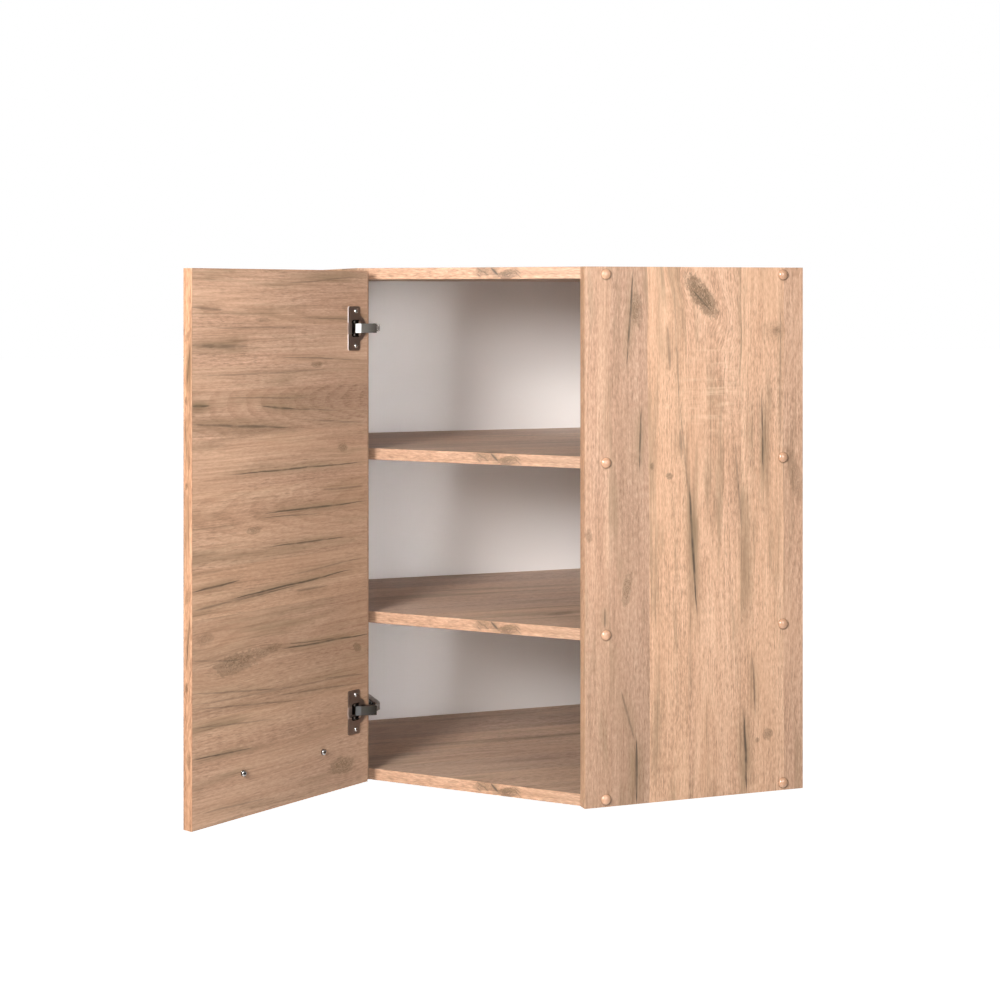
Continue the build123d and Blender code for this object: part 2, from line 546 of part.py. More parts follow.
    arm_plane = upright(ARM_POINT, hinge_z, (ARM_POINT[0], ARM_POINT[1] + 1))
    with BuildPart(arm_plane) as hinge_arm:
        for base in (ARM_IN, -ARM_OUT):
            with BuildSketch(arm_plane.offset(base)):
                Circle(LINK_HALF)
                with Locations((0, -LINK_HALF)):
                    Rectangle(ARM_NOSE, 2 * LINK_HALF, align=(Align.MIN, Align.MIN))
                with Locations((ARM_BODY_START, -ARM_HALF - ARM_WALL)):
                    Rectangle(ARM_BODY, 2 * ARM_HALF + ARM_WALL, align=(Align.MIN, Align.MIN))
                Circle(PIN_R + HOLE_PLAY, mode=Mode.SUBTRACT)
            extrude(amount=ARM_WALL)
        with Locations((ARM_BODY_START, -ARM_HALF - ARM_WALL, -ARM_OUT)):
            Box(ARM_BODY, ARM_WALL, 2 * ARM_OUT, align=LOW)
        with Locations(*[(x, -ARM_HALF, 0) for x in ARM_SCREW_XS]):
            arm_hole_r = ARM_SCREW_R + ARM_SCREW_PLAY + HOLE_PLAY
            Cylinder(arm_hole_r, 4 * ARM_WALL, rotation=(90, 0, 0), mode=Mode.SUBTRACT)
    hinge_arm.part.label = "hinge_arm_" + level
    export_step(hinge_arm.part, f"parts/hinge_arm_{level}.step")

    with BuildPart(arm_plane) as hinge_plate:
        with Locations((PLATE_SCREW_X - PLATE_BLOCK_LEAD, -ARM_HALF + CHEEK_GAP / 2, -SWING_HALF_Z)):
            Box(PLATE_BLOCK_LENGTH, PANEL_REACH + ARM_HALF - CHEEK_GAP / 2, 2 * SWING_HALF_Z, align=LOW)
        plate_half = PLATE_SCREW_HALF + PLATE_END
        with Locations((PLATE_SCREW_X - PLATE_WIDTH / 2, PANEL_REACH - PLATE_BASE, -plate_half)):
            Box(PLATE_WIDTH, PLATE_BASE, 2 * plate_half, align=LOW)
        with Locations(*[(PLATE_SCREW_X, PANEL_REACH, side * PLATE_SCREW_HALF) for side in (-1, 1)]):
            Cylinder(PLATE_SCREW_R + HOLE_PLAY, 4 * PLATE_BASE, rotation=(90, 0, 0), mode=Mode.SUBTRACT)
        with Locations(*[(x, -ARM_HALF, 0) for x in ARM_SCREW_XS]):
            arm_bore = 2 * (ARM_SCREW_LENGTH + PILOT_ROOM)
            Cylinder(ARM_SCREW_R + HOLE_PLAY, arm_bore, rotation=(90, 0, 0), mode=Mode.SUBTRACT)
    hinge_plate.part.label = "hinge_plate_" + level
    export_step(hinge_plate.part, f"parts/hinge_plate_{level}.step")

# Hinge pins: the arm's, the middle one, and two stubs in the walls of each cup
with BuildPart() as hinge_arm_pins:
    with Locations(*[(*ARM_POINT, z) for z in PLATE_RISE]):
        Cylinder(PIN_R, 2 * (ARM_OUT + PIN_PROUD))
hinge_arm_pins.part.label = "hinge_arm_pins"
export_step(hinge_arm_pins.part, "parts/hinge_arm_pins.step")

with BuildPart() as hinge_middle_pins:
    with Locations(*[(*MIDDLE_POINT, z) for z in PLATE_RISE]):
        Cylinder(PIN_R, 2 * (CUP_LINK_OUT + CHEEK_GAP))
hinge_middle_pins.part.label = "hinge_middle_pins"
export_step(hinge_middle_pins.part, "parts/hinge_middle_pins.step")

stub = SLOT_HALF + STUB_BITE - CUP_LINK_IN
stub_middle = CUP_LINK_IN + stub / 2
with BuildPart() as hinge_cup_pins:
    with Locations(*[(*CUP_POINT, z + side) for z in PLATE_RISE for side in (-stub_middle, stub_middle)]):
        Cylinder(PIN_R, stub)
hinge_cup_pins.part.label = "hinge_cup_pins"
export_step(hinge_cup_pins.part, "parts/hinge_cup_pins.step")

# Hinge screws: cup flange into the door, plate into the side panel, arm onto the plate
with BuildPart(DOOR_PLANE) as hinge_cup_screws:
    with Locations(*[(CUP_SCREW_FROM_EDGE, 0, z) for z in cup_pilots]):
        with Locations(Location((0, 0, 0), (90, 0, 0))):
            Cylinder(CUP_SCREW_R, CUP_SCREW_LENGTH, align=ON_END)
        with Locations(Location((0, FLANGE_H + CUP_SCREW_HEAD_RISE, 0), (90, 0, 0))):
            Cylinder(CUP_SCREW_HEAD_R, FLANGE_H + CUP_SCREW_HEAD_RISE, align=ON_END)
            cross_recess(CUP_SCREW_HEAD_R)
hinge_cup_screws.part.label = "hinge_cup_screws"
export_step(hinge_cup_screws.part, "parts/hinge_cup_screws.step")

with BuildPart() as hinge_plate_screws:
    plate_x = LEFT_IN + PLATE_BASE
    plate_y = LEFT_FRONT + PLATE_SCREW_FROM_EDGE
    plate_levels = [z + side for z in PLATE_RISE for side in (-PLATE_SCREW_HALF, PLATE_SCREW_HALF)]
    with Locations(*[Location((plate_x, plate_y, z), (0, 90, 0)) for z in plate_levels]):
        Cylinder(PLATE_SCREW_HEAD_R, PLATE_SCREW_HEAD_H, align=ON_END)
        with Locations((0, 0, -PLATE_SCREW_LENGTH)):
            Cylinder(PLATE_SCREW_R, PLATE_SCREW_LENGTH, align=ON_END)
        with Locations((0, 0, PLATE_SCREW_HEAD_H)):
            cross_recess(PLATE_SCREW_HEAD_R)
hinge_plate_screws.part.label = "hinge_plate_screws"
export_step(hinge_plate_screws.part, "parts/hinge_plate_screws.step")

with BuildPart() as hinge_arm_screws:
    web_x = ARM_POINT[0] + ARM_HALF + ARM_WALL
    web_y = [ARM_POINT[1] + x for x in ARM_SCREW_XS]
    with Locations(*[Location((web_x, y, z), (0, 90, 0)) for y in web_y for z in PLATE_RISE]):
        Cylinder(ARM_SCREW_HEAD_R, ARM_SCREW_HEAD_H, align=ON_END)
        with Locations((0, 0, -ARM_SCREW_LENGTH)):
            Cylinder(ARM_SCREW_R, ARM_SCREW_LENGTH, align=ON_END)
        with Locations((0, 0, ARM_SCREW_HEAD_H)):
            cross_recess(ARM_SCREW_HEAD_R)
hinge_arm_screws.part.label = "hinge_arm_screws"
export_step(hinge_arm_screws.part, "parts/hinge_arm_screws.step")

# Bar handle on the outer face, held by two screws from inside
with BuildPart(DOOR_PLANE) as handle:
    with Locations(*[Location((x, -BOARD, HANDLE_RISE), (90, 0, 0)) for x in handle_x]):
        Cylinder(HANDLE_POST_R, HANDLE_REACH, align=ON_END)
    with Locations((DOOR_WIDTH / 2, -BOARD - HANDLE_REACH, HANDLE_RISE)):
        Cylinder(HANDLE_BAR_R, HANDLE_PITCH + 2 * HANDLE_OVERHANG, rotation=(0, 90, 0))
    with Locations(*[Location((x, -BOARD, HANDLE_RISE), (90, 0, 0)) for x in handle_x]):
        handle_bore = HANDLE_SCREW_BITE + HANDLE_BORE_ROOM
        Cylinder(HANDLE_SCREW_R + HOLE_PLAY, handle_bore, align=ON_END, mode=Mode.SUBTRACT)
handle.part.label = "handle"
export_step(handle.part, "parts/handle.step")

with BuildPart(DOOR_PLANE) as handle_screws:
    with Locations(*[Location((x, 0, HANDLE_RISE), (90, 0, 0)) for x in handle_x]):
        Cylinder(HANDLE_SCREW_R, BOARD + HANDLE_SCREW_BITE, align=ON_END)
        with Locations((0, 0, -HANDLE_SCREW_HEAD_H)):
            Cylinder(HANDLE_SCREW_HEAD_R, HANDLE_SCREW_HEAD_H, align=ON_END)
            cross_recess(HANDLE_SCREW_HEAD_R)
handle_screws.part.label = "handle_screws"
export_step(handle_screws.part, "parts/handle_screws.step")

# Angle hangers in the space behind the back sheets, each with an eye for a wall hook
hanger_depth = SHEET_INSET - 2 * HANGER_SETBACK
hanger_bore_r = HANGER_SCREW_R + HOLE_PLAY
eye_reach = HANGER_EYE_SHARE * HANGER_WIDTH
eye_rise = HANGER_Z + HANGER_HEIGHT / 2
with BuildPart() as hanger_right:
    with Locations((-HANGER_SETBACK - HANGER_STEEL, RIGHT_IN, HANGER_Z)):
        Box(HANGER_STEEL, HANGER_WIDTH, HANGER_HEIGHT, align=LOW)
    with Locations((-HANGER_SETBACK - hanger_depth, RIGHT_IN, HANGER_Z)):
        Box(hanger_depth, HANGER_STEEL, HANGER_HEIGHT, align=LOW)
    with Locations((-HANGER_SETBACK, RIGHT_IN + eye_reach, eye_rise)):
        Cylinder(HANGER_EYE_R, 4 * HANGER_STEEL, rotation=(0, 90, 0), mode=Mode.SUBTRACT)
    with Locations(*[(-SHEET_INSET / 2, RIGHT_IN, z) for z in HANGER_LEVELS]):
        Cylinder(hanger_bore_r, 4 * HANGER_STEEL, rotation=(90, 0, 0), mode=Mode.SUBTRACT)
hanger_right.part.label = "hanger_right"
export_step(hanger_right.part, "parts/hanger_right.step")

with BuildPart() as hanger_left:
    with Locations((LEFT_IN, -HANGER_SETBACK - HANGER_STEEL, HANGER_Z)):
        Box(HANGER_WIDTH, HANGER_STEEL, HANGER_HEIGHT, align=LOW)
    with Locations((LEFT_IN, -HANGER_SETBACK - hanger_depth, HANGER_Z)):
        Box(HANGER_STEEL, hanger_depth, HANGER_HEIGHT, align=LOW)
    with Locations((LEFT_IN + eye_reach, -HANGER_SETBACK, eye_rise)):
        Cylinder(HANGER_EYE_R, 4 * HANGER_STEEL, rotation=(90, 0, 0), mode=Mode.SUBTRACT)
    with Locations(*[(LEFT_IN, -SHEET_INSET / 2, z) for z in HANGER_LEVELS]):
        Cylinder(hanger_bore_r, 4 * HANGER_STEEL, rotation=(0, 90, 0), mode=Mode.SUBTRACT)
hanger_left.part.label = "hanger_left"
export_step(hanger_left.part, "parts/hanger_left.step")

with BuildPart() as hanger_screws:
    right_screws = [
        Location((-SHEET_INSET / 2, RIGHT_IN + HANGER_STEEL, z), (90, 0, 0)) for z in HANGER_LEVELS
    ]
    left_screws = [
        Location((LEFT_IN + HANGER_STEEL, -SHEET_INSET / 2, z), (0, -90, 0)) for z in HANGER_LEVELS
    ]
    with Locations(*right_screws, *left_screws):
        Cylinder(HANGER_SCREW_R, HANGER_SCREW_LENGTH, align=ON_END)
        with Locations((0, 0, -HANGER_SCREW_HEAD_H)):
            Cylinder(HANGER_SCREW_HEAD_R, HANGER_SCREW_HEAD_H, align=ON_END)
hanger_screws.part.label = "hanger_screws"
export_step(hanger_screws.part, "parts/hanger_screws.step")
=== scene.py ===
"""Looks of a corner wall cabinet.

Oak decor boards, white back sheets, plastic caps, nickel hinges and a pale studio.
"""

import json
import math

import bpy
import numpy as np
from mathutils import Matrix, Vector


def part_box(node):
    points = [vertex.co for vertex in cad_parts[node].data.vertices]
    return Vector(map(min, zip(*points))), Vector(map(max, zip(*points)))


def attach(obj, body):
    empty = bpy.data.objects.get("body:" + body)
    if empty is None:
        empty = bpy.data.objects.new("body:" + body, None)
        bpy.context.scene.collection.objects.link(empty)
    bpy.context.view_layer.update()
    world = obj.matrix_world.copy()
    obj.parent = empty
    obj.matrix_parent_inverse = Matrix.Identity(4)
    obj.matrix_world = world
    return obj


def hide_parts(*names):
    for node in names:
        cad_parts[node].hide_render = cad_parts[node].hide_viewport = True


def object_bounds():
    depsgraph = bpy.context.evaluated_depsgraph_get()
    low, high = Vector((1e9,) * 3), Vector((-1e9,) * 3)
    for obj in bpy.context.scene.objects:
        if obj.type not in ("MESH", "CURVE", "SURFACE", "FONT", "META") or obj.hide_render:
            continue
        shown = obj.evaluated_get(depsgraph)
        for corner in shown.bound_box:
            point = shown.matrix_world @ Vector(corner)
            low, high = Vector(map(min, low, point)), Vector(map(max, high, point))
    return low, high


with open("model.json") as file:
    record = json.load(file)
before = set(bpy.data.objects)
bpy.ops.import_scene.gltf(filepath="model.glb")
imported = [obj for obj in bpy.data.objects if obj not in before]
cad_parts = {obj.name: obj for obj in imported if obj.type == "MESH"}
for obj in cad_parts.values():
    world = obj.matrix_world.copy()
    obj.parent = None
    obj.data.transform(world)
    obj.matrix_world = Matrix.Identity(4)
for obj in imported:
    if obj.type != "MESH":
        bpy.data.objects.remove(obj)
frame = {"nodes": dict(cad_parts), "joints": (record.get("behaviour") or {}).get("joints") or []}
cad_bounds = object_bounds()
scene = bpy.context.scene

MM = 1000.0
UP = Vector((0, 0, 1))
WALL_X = Vector((1, 0, 0))
WALL_Y = Vector((0, 1, 0))
DIAGONAL = Vector((1, -1, 0)).normalized()
INTO = Vector((1, 1, 0)).normalized()
ORIGIN = Vector((0, 0, 0))
TOUCHING = 1e-5

# Photograph: square picture, focal length and horizon in its pixels
PICTURE = 1000.0
FOCAL_PX = 1892.3
HORIZON_PX = 295.81
CAMERA_AT = Vector((-1.2631, -2.8811, 0.681))
CAMERA_LOOK = Vector((0.3315, 0.9435, 0))
CAMERA_SEES = 500.0
SENSOR_MM = 36.0


def vertices(node):
    """A node's vertices, one row each, in metres."""
    mesh = frame["nodes"][node].data
    places = np.empty(len(mesh.vertices) * 3, np.float32)
    mesh.vertices.foreach_get("co", places)
    return places.reshape(-1, 3)


def reach(node, direction):
    """Lowest and highest position of a node's vertices along a direction, in metres."""
    along = vertices(node) @ np.array(direction, np.float32)
    return float(along.min()), float(along.max())


def turned(direction, degrees):
    """Level direction turned about the upright."""
    angle = math.radians(degrees)
    return Vector((
        direction.x * math.cos(angle) - direction.y * math.sin(angle),
        direction.x * math.sin(angle) + direction.y * math.cos(angle),
        0,
    ))


door_joint = next(joint for joint in frame["joints"] if joint["name"] == "door_swing")
DOOR_OPEN = door_joint["range_deg"][1]
DOOR_ALONG = turned(DIAGONAL, -DOOR_OPEN)
DOOR_INTO = turned(INTO, -DOOR_OPEN)


def even(value):
    """The same value in all three directions."""
    return (value, value, value)


class Graph:
    """Adds shader nodes to one tree. A value is a number, a tuple or another node's output."""

    def __init__(self, tree):
        self.tree = tree

    def add(self, kind, inputs=None, **settings):
        node = self.tree.nodes.new("ShaderNode" + kind)
        for name, value in settings.items():
            setattr(node, name, value)
        for key, value in (inputs or {}).items():
            self.feed(node.inputs[key], value)
        return node

    def feed(self, socket, value):
        if isinstance(value, bpy.types.NodeSocket):
            self.tree.links.new(value, socket)
        else:
            socket.default_value = value

    def fill(self, node, **values):
        """Feeds a node's sockets, named with underscores for spaces; gives its outputs."""
        for name, value in values.items():
            self.feed(node.inputs[name.replace("_", " ")], value)
        return node.outputs

    def math(self, operation, *values, clamp=False):
        node = self.add("Math", dict(enumerate(values)), operation=operation, use_clamp=clamp)
        return node.outputs[0]

    def plus(self, first, second, clamp=False):
        return self.math("ADD", first, second, clamp=clamp)

    def minus(self, first, second, clamp=False):
        return self.math("SUBTRACT", first, second, clamp=clamp)

    def times(self, first, second, clamp=False):
        return self.math("MULTIPLY", first, second, clamp=clamp)

    def over(self, first, second):
        return self.math("DIVIDE", first, second)

    def scaled(self, value, factor, offset):
        return self.math("MULTIPLY_ADD", value, factor, offset)

    def size(self, value):
        return self.math("ABSOLUTE", value)

    def larger(self, first, second):
        return self.math("MAXIMUM", first, second)

    def smaller(self, first, second):
        return self.math("MINIMUM", first, second)

    def vector(self, operation, *values):
        node = self.add("VectorMath", dict(enumerate(values)), operation=operation)
        return node.outputs["Value" if operation in ("DOT_PRODUCT", "LENGTH") else "Vector"]

    def combine(self, x, y, z):
        return self.add("CombineXYZ", {0: x, 1: y, 2: z}).outputs[0]

    def split(self, vector):
        return self.add("SeparateXYZ", {0: vector}).outputs

    def length(self, x, y):
        return self.vector("LENGTH", self.combine(x, y, 0.0))

    def point(self):
        """Object coordinates in millimetres."""
        return self.vector("MULTIPLY", self.add("TexCoord").outputs["Object"], even(MM))

    def along(self, direction, start):
        """Millimetres along a direction, from a start in metres."""
        point = self.add("TexCoord").outputs["Object"]
        return self.scaled(self.vector("DOT_PRODUCT", point, tuple(direction)), MM, -MM * start)

    def facing(self, direction):
        """How far the surface faces a direction: 1 full on, 0 edge on, -1 away."""
        normal = self.add("TexCoord").outputs["Normal"]
        return self.vector("DOT_PRODUCT", normal, tuple(direction))

    def noise(self, position, scale, detail=2.0, roughness=0.5):
        """Noise between 0 and 1; the scale is in features a millimetre."""
        node = self.add("TexNoise", {
            "Vector": self.vector("MULTIPLY", position, scale), "Scale": 1.0,
            "Detail": detail, "Roughness": roughness,
        })
        return node.outputs["Fac"]

    def centred(self, value, amount):
        """A 0 to 1 value turned into one that swings by half the amount about zero."""
        return self.times(self.minus(value, 0.5), amount)

    def step(self, value, low, high):
        """Smooth step: 0 at low, 1 at high; high may lie below low."""
        limits = {"Value": value, "From Min": low, "From Max": high}
        return self.add("MapRange", limits, interpolation_type="SMOOTHSTEP").outputs[0]

    def mix(self, factor, first, second, blend="MIX"):
        """Mix of two colours, each another node's output or its red, green and blue."""
        node = self.add("Mix", {0: factor}, data_type="RGBA", blend_type=blend)
        for key, colour in ((6, first), (7, second)):
            self.feed(node.inputs[key], (*colour, 1.0) if isinstance(colour, tuple) else colour)
        return node.outputs[2]

    def ramp(self, factor, stops, interpolation="LINEAR"):
        """Colour ramp; stops: (place, colour), from the lowest place up."""
        node = self.add("ValToRGB", {"Fac": factor})
        ramp = node.color_ramp
        ramp.interpolation = interpolation
        while len(ramp.elements) > 1:
            ramp.elements.remove(ramp.elements[-1])
        for place, colour in stops[1:]:
            ramp.elements.new(place).color = (*colour, 1.0)
        ramp.elements[0].position = stops[0][0]
        ramp.elements[0].color = (*stops[0][1], 1.0)
        return node.outputs["Color"]

    def bump(self, height, strength, distance):
        inputs = {"Height": height, "Strength": strength, "Distance": distance}
        return self.add("Bump", inputs).outputs["Normal"]


def new_group(name, values, outputs):
    """Node group of a position and values; gives its graph, input sockets and output node."""
    tree = bpy.data.node_groups.new(name, "ShaderNodeTree")
    for socket, kind in [("Position", "Vector")] + [(value, "Float") for value in values]:
        tree.interface.new_socket(socket, in_out="INPUT", socket_type="NodeSocket" + kind)
    for socket in outputs:
        kind = "Color" if socket == "Color" else "Float"
        tree.interface.new_socket(socket, in_out="OUTPUT", socket_type="NodeSocket" + kind)
    inner = tree.nodes.new("NodeGroupInput").outputs
    return Graph(tree), inner, tree.nodes.new("NodeGroupOutput")


def place_group(graph, group, **values):
    """One use of a node group; gives its outputs."""
    return graph.fill(graph.add("Group", node_tree=group.tree), **values)


# Oak decor: colours in linear light
OAK_DARK = (0.315, 0.190, 0.108)
OAK_MIDDLE = (0.600, 0.362, 0.227)
OAK_LIGHT = (0.820, 0.545, 0.357)
OAK_ROSE = (0.965, 0.985, 1.055)
OAK_SHADE = (0.315, 0.215, 0.128)
OAK_PORE = (0.25, 0.150, 0.090)
# Knot colour, also used for the shadow painted round the screw caps
OAK_KNOT_AND_SHADOW = (0.185, 0.122, 0.070)
OAK_CRACK = (0.105, 0.075, 0.052)
OAK_RAY = (0.90, 0.640, 0.440)
OAK_LEVEL = 0.66
SHADE_DEPTH = 0.62

# Noise scales: features a millimetre across the grain, along it and through the board
WANDER_WAVE = (0.010, 0.0028, 0.01)
RIPPLE_WAVE = (0.05, 0.012, 0.02)
STREAK_WAVE = (0.050, 0.0034, 0.05)
LINE_WAVE = (0.40, 0.0052, 0.1)
DASH_WAVE = (0.56, 0.115, 0.3)
PATCH_WAVE = (0.016, 0.0050, 0.01)
CLOUD_WAVE = (0.036, 0.0036, 0.01)
GRAIN_WAVE = (0.55, 0.055, 0.3)
FRAY_WAVE = (0.26, 0.13, 0.05)
SWIRL_WAVE = (0.55, 0.20, 0.1)
WOBBLE_WAVE = (0.004, 0.014, 0.0)
BREAK_WAVE = (0.02, 0.040, 0.0)
RAY_WAVE = (0.014, 0.11, 0.01)
WAVER_WAVE = (0.0, 0.006, 0.0)

# Knots: in shares of their radius
KNOT_FRAY = 1.5
KNOT_RINGS = 3.4
KNOT_EDGE = 0.80
KNOT_PUSH = -0.6
KNOT_FALL = -0.45

# Cracks, planks and rings: millimetres, or shares
CRACK_WOBBLE = 5.0
HALO_WIDTHS = 11.0
GRAIN_WANDER = 12.0
PLANK_WAVER = 6.0
RING_GAP = 4.2
RING_RIPPLE = 1.3
PITH_SIDEWAYS = 110.0
PITH_SLANT = 0.30
PITH_DEPTH = (40.0, 14.0)
SEED_FIRST = 0.13
SEED_STEP = 0.381
SEED_DRAW = 61.7
SEED_SHIFT = 900.0


def make_knot_group():
    """One knot: a turned ellipse frayed by noise, ringed, with the grain pushed round it."""
    graph, inner, outer = new_group(
        "oak_knot",
        ["Fray", "Swirl", "Across", "Along", "Half Width", "Half Length", "Turn", "Depth"],
        ["Mask", "Push"],
    )
    place = graph.split(inner["Position"])
    dx = graph.minus(place[0], inner["Across"])
    dy = graph.minus(place[1], inner["Along"])
    cosine = graph.math("COSINE", inner["Turn"])
    sine = graph.math("SINE", inner["Turn"])
    wide = graph.minus(graph.times(dx, cosine), graph.times(dy, sine))
    long = graph.plus(graph.times(dx, sine), graph.times(dy, cosine))
    radius = graph.length(
        graph.over(wide, inner["Half Width"]), graph.over(long, inner["Half Length"])
    )
    frayed = graph.plus(radius, graph.centred(inner["Fray"], KNOT_FRAY))
    soft = graph.step(frayed, 1.25, 0.40)
    rings = graph.math("FRACT", graph.times(frayed, KNOT_RINGS))
    hairs = graph.step(graph.size(graph.minus(rings, 0.5)), 0.42, 0.14)
    hatch = graph.scaled(graph.step(inner["Swirl"], 0.40, 0.62), 0.30, graph.times(hairs, 0.60))
    inside = graph.times(graph.scaled(hatch, 0.80, 0.38), inner["Depth"])
    off_edge = graph.size(graph.minus(frayed, KNOT_EDGE))
    outline = graph.times(graph.step(off_edge, 0.20, 0.04), graph.times(inner["Depth"], 0.62))
    mask = graph.larger(graph.times(soft, inside), outline)
    fall = graph.math("EXPONENT", graph.times(graph.times(radius, radius), KNOT_FALL))
    push = graph.times(graph.times(dx, fall), inner["Depth"])
    graph.fill(outer, Mask=graph.smaller(mask, 1.0), Push=graph.times(push, KNOT_PUSH))
    return graph


def make_crack_group():
    """One crack along the grain: a thin leaning line that wobbles and tapers, in a soft halo."""
    graph, inner, outer = new_group(
        "oak_crack",
        ["Wobble", "Broken", "Across", "Along", "Half Length", "Half Width", "Lean", "Depth"],
        ["Mask", "Halo"],
    )
    place = graph.split(inner["Position"])
    share = graph.over(graph.minus(place[1], inner["Along"]), inner["Half Length"])
    line = graph.plus(inner["Across"], graph.times(inner["Lean"], share))
    off = graph.minus(graph.minus(place[0], line), inner["Wobble"])
    taper = graph.minus(1.0, graph.times(share, share), clamp=True)
    width = graph.times(inner["Half Width"], graph.scaled(taper, 0.95, 0.30))
    ratio = graph.size(graph.over(off, width))
    ends = graph.step(graph.size(share), 1.1, 0.75)
    core = graph.times(graph.step(ratio, 1.5, 0.2), graph.times(ends, inner["Broken"]))
    spread = graph.size(graph.over(off, graph.times(inner["Half Width"], HALO_WIDTHS)))
    soft_ends = graph.step(graph.size(share), 1.45, 0.2)
    halo = graph.times(graph.step(spread, 1.0, 0.0), graph.times(soft_ends, inner["Depth"]))
    graph.fill(outer, Mask=graph.times(core, inner["Depth"], clamp=True), Halo=halo)
    return graph


def make_oak_group():
    """Oak decor: yearly rings, long streaks, fine lines and pores, with knots and cracks on top.

    A plank's rings are circles about a pith line that leans against the board, so flat-sawn
    arches and straight rift lines both come from one formula: the distance of a point from the
    leaning line, over the ring gap.
    """
    graph, inner, outer = new_group(
        "oak_decor",
        ["Tone", "Rose", "Centre", "Seed", "Knot", "Crack", "Halo", "Fleck"],
        ["Color", "Roughness", "Height"],
    )
    position = inner["Position"]
    place = graph.split(position)
    draw = graph.times(inner["Seed"], SEED_DRAW)
    chance = graph.add("TexWhiteNoise", {"W": draw}, noise_dimensions="1D")
    luck = graph.split(chance.outputs["Color"])
    shift = graph.combine(0.0, graph.times(inner["Seed"], SEED_SHIFT), 0.0)
    shifted = graph.vector("ADD", position, shift)
    wander = graph.centred(graph.noise(shifted, WANDER_WAVE, 2.0), GRAIN_WANDER)
    across = graph.plus(place[0], wander)
    bent = graph.combine(across, graph.split(shifted)[1], place[2])

    pith = graph.plus(inner["Centre"], graph.centred(luck[0], PITH_SIDEWAYS))
    slant = graph.times(place[1], graph.centred(luck[1], PITH_SLANT))
    depth = graph.plus(graph.scaled(luck[2], *PITH_DEPTH), slant)
    from_pith = graph.length(graph.minus(across, pith), depth)
    ripple = graph.centred(graph.noise(bent, RIPPLE_WAVE, 3.0), RING_RIPPLE)
    ring = graph.math("FRACT", graph.plus(graph.over(from_pith, RING_GAP), ripple))
    late = graph.times(graph.step(ring, 0.25, 0.9), graph.step(ring, 1.0, 0.93))

    streak = graph.noise(bent, STREAK_WAVE, 4.0, 0.55)
    line = graph.noise(bent, LINE_WAVE, 3.0, 0.70)
    dash = graph.noise(bent, DASH_WAVE, 2.0, 0.6)
    patch = graph.noise(shifted, PATCH_WAVE, 3.0)
    cloud = graph.noise(bent, CLOUD_WAVE, 4.0, 0.6)
    grain = graph.noise(bent, GRAIN_WAVE, 2.0, 0.5)
    pore = graph.times(graph.step(grain, 0.575, 0.66), graph.step(patch, 0.28, 0.60))

    level = graph.plus(graph.centred(streak, 0.70), graph.centred(line, 1.05))
    rough_patch = graph.scaled(patch, 1.6, 0.05)
    level = graph.plus(level, graph.times(graph.centred(dash, inner["Fleck"]), rough_patch))
    ring_depth = graph.times(late, graph.scaled(luck[1], -0.12, -0.05))
    level = graph.plus(graph.plus(level, ring_depth), OAK_LEVEL, clamp=True)
    colour = graph.ramp(level, [(0.0, OAK_DARK), (0.5, OAK_MIDDLE), (1.0, OAK_LIGHT)])
    rosy = graph.plus(inner["Rose"], graph.centred(patch, 1.5), clamp=True)
    colour = graph.mix(rosy, colour, graph.mix(1.0, colour, OAK_ROSE, "MULTIPLY"))
    tone = graph.combine(*even(inner["Tone"]))
    colour = graph.mix(1.0, colour, tone, "MULTIPLY")
    clouded = graph.times(graph.step(cloud, 0.49, 0.70), SHADE_DEPTH)
    shade = graph.plus(clouded, graph.times(inner["Halo"], SHADE_DEPTH), clamp=True)
    colour = graph.mix(shade, colour, OAK_SHADE)
    hair = graph.times(graph.step(line, 0.47, 0.36), graph.times(shade, 0.85), clamp=True)
    colour = graph.mix(hair, colour, OAK_PORE)
    colour = graph.mix(graph.times(pore, 0.45), colour, OAK_PORE)
    colour = graph.mix(graph.times(inner["Knot"], 0.9, clamp=True), colour, OAK_KNOT_AND_SHADOW)
    colour = graph.mix(graph.times(inner["Crack"], 0.95, clamp=True), colour, OAK_CRACK)
    sunk = graph.plus(graph.times(pore, 0.5), inner["Crack"])
    graph.fill(
        outer, Color=colour, Roughness=graph.scaled(line, 0.16, 0.40),
        Height=graph.minus(graph.times(dash, 0.5), sunk),
    )
    return graph


CHIP_WARP = even(0.3)
CHIP_WAVE = (0.35, 0.35, 0.75)
CHIP_TONES = [(0.0, (0.22, 0.13, 0.07)), (0.35, (0.46, 0.31, 0.18)), (1.0, (0.66, 0.49, 0.31))]
CHIP_GAP = (0.12, 0.075, 0.045)


def make_chip_group():
    """Raw chipboard: flat chips in random wood tones with dark gaps, for edges without a band."""
    graph, inner, outer = new_group("raw_chipboard", [], ["Color", "Height"])
    warp = graph.noise(inner["Position"], CHIP_WARP, 2.0)
    bend = graph.combine(warp, graph.centred(warp, 3.0), warp)
    moved = graph.vector("ADD", inner["Position"], bend)
    stretched = graph.vector("MULTIPLY", moved, CHIP_WAVE)
    chips = graph.add("TexVoronoi", {"Vector": stretched, "Scale": 1.0})
    tone = graph.split(chips.outputs["Color"])[0]
    gap = graph.step(chips.outputs["Distance"], 0.45, 0.8)
    colour = graph.mix(graph.times(gap, 0.6), graph.ramp(tone, CHIP_TONES), CHIP_GAP)
    graph.fill(outer, Color=colour, Height=graph.minus(tone, gap))
    return graph


oak_knot = make_knot_group()
oak_crack = make_crack_group()
oak_decor = make_oak_group()
raw_chipboard = make_chip_group()


def new_material(name):
    """Material with a Principled shader; gives the material, its graph and the shader."""
    material = bpy.data.materials.new(name)
    material.use_nodes = True
    tree = material.node_tree
    tree.nodes.clear()
    graph = Graph(tree)
    shader = graph.add("BsdfPrincipled")
    output = graph.add("OutputMaterial")
    tree.links.new(shader.outputs[0], output.inputs["Surface"])
    return material, graph, shader


